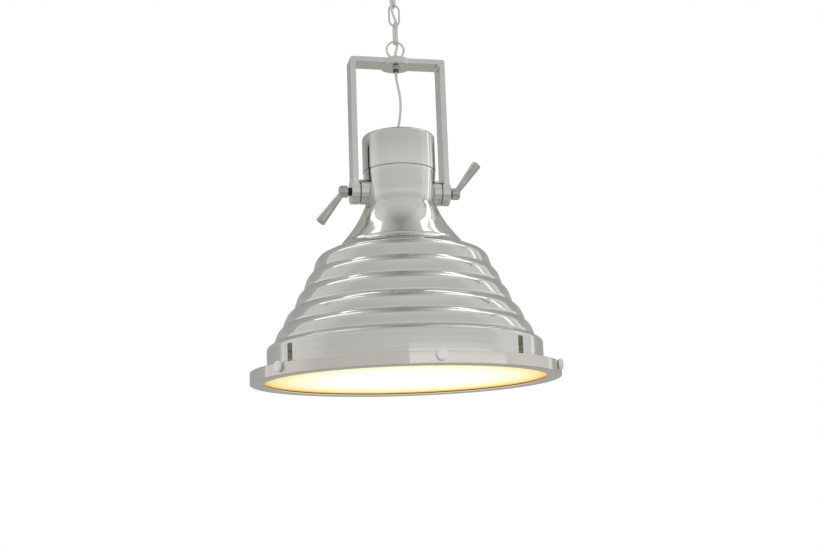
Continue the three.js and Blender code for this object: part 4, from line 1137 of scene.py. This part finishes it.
# The light of the tent changes with the direction: greyer behind the lamp and in front of it, lighter at
# both sides, and dim overhead. The pairs are degrees round the lamp or up from it, and the light there.
tent = {"centreZ": -0.5, "radius": 5, "turnDegrees": 12.4, "segments": 96, "rings": 48}
tentRound = [(-180, 0.51), (-135, 0.485), (-116, 0.49), (-104, 0.56), (-75, 0.62), (-66, 0.61), (-63, 0.73),
             (-60, 0.435), (0, 0.445), (48, 0.445), (51, 0.83), (54, 0.83), (57, 0.62), (75, 0.62),
             (98, 0.61), (106, 0.54), (135, 0.525), (180, 0.51)]
tentUp = [(-90, 0.9), (0, 1.1), (9, 1.08), (12.5, 1.23), (15.5, 1.2), (21, 1.0), (45, 1.0), (60, 1.13),
          (70, 0.98), (80, 0.68), (90, 0.52)]
backStrip = {"place": (0.15, 0.85, 2.0), "size": (2.3, 0.22), "light": 1.15}
poles = {  # azimuth, distance, radius, foot, top and light. Those without light are dark.
    "leftBoom": (-84, 2.2, 0.03, 1.3, 1.7, 0),
    "rightBoom": (79, 2.2, 0.05, 1.0, 2.0, 0),
    "leftTube": (-68, 1.6, 0.18, 1.0, 3.4, 1.4),
    "rightTube": (67, 1.6, 0.17, 1.0, 3.2, 1.45),
    "sideTube": (73, 1.0, 0.035, -0.3, 0.14, 1.3),
}
lowCard = {"from": 177, "to": 112, "pieces": 8, "distance": 1.0, "height": -0.613, "radius": 0.019,
           "light": 0.8}


def glowFinish(name, light):
    material, tree, shader = newMaterial(name)
    fillInputs(tree, shader, {"Base Color": (0, 0, 0, 1), "Specular IOR Level": 0.0,
                              "Emission Color": (1, 1, 1, 1), "Emission Strength": light})
    return material, tree, shader


def stageForMetal(thing, material):
    thing.data.materials.append(material)
    thing.visible_camera = False
    thing.visible_diffuse = False
    thing.visible_shadow = False
    thing.visible_transmission = False


def degreesRamp(tree, angle, stops):
    low, high = stops[0][0], stops[-1][0]
    return addRamp(tree, mappedValue(tree, angle, math.radians(low), math.radians(high)),
                   [((degrees - low) / (high - low), (light, light, light)) for degrees, light in stops])


def makeTent():
    size = tent["radius"]
    angles = [math.radians(-90 + 180 * k / tent["rings"]) for k in range(tent["rings"] + 1)]
    outline = [(max(r, 0) / mm, z / mm) for r, z in (onCircle(size, angle) for angle in angles)]
    shell = turned("studio_tent", outline, tent["segments"])
    shell.location = (0, 0, tent["centreZ"])
    shell.rotation_euler = (0, 0, -math.radians(tent["turnDegrees"]))
    material, tree, shader = glowFinish("tentCloth", 1.0)
    apart = placeParts(tree)
    around = computed(tree, "ARCTAN2", apart["X"], apart["Y"])
    up = computed(tree, "ARCSINE", computed(tree, "DIVIDE", apart["Z"], size))
    light = multipliedColour(tree, degreesRamp(tree, around, tentRound), degreesRamp(tree, up, tentUp))
    fillInputs(tree, shader, {"Emission Color": light})
    stageForMetal(shell, material)


def makeBackStrip():
    turn = Matrix.Rotation(-math.radians(tent["turnDegrees"]), 3, "Z")
    data = bpy.data.lights.new("backStrip", "AREA")
    data.shape, data.size, data.size_y = "RECTANGLE", *backStrip["size"]
    data.energy = backStrip["light"] * math.pi * backStrip["size"][0] * backStrip["size"][1]
    lamp = bpy.data.objects.new("backStrip", data)
    lamp.location = Vector((0, 0, tent["centreZ"])) + turn @ Vector(backStrip["place"])
    lamp.rotation_euler = turn.to_euler()
    lamp.visible_camera = False
    scene.collection.objects.link(lamp)


def makeRod(name, spots, distance, radius, light):
    # The rod runs through spots of azimuth and height
    path = []
    for azimuth, height in spots:
        angle = math.radians(azimuth + tent["turnDegrees"])
        path.append((distance * math.sin(angle) / mm, distance * math.cos(angle) / mm, height / mm))
    stageForMetal(tube("studio_" + name, path, radius / mm, 16),
                  glowFinish("glow_" + name, light)[0] if light else blackPlastic)


def makeRods():
    for name, (azimuth, distance, radius, foot, top, light) in poles.items():
        makeRod(name, [(azimuth, z) for z in (foot, (foot + top) / 2, top)], distance, radius, light)
    c = lowCard
    step = (c["to"] - c["from"]) / c["pieces"]
    spots = [(c["from"] + step * k, c["height"]) for k in range(c["pieces"] + 1)]
    makeRod("lowCard", spots, c["distance"], c["radius"], c["light"])


makeWorld()
makeFloor()
makeTent()
makeBackStrip()
makeRods()
scene.view_settings.view_transform = "Standard"
print("studio made")
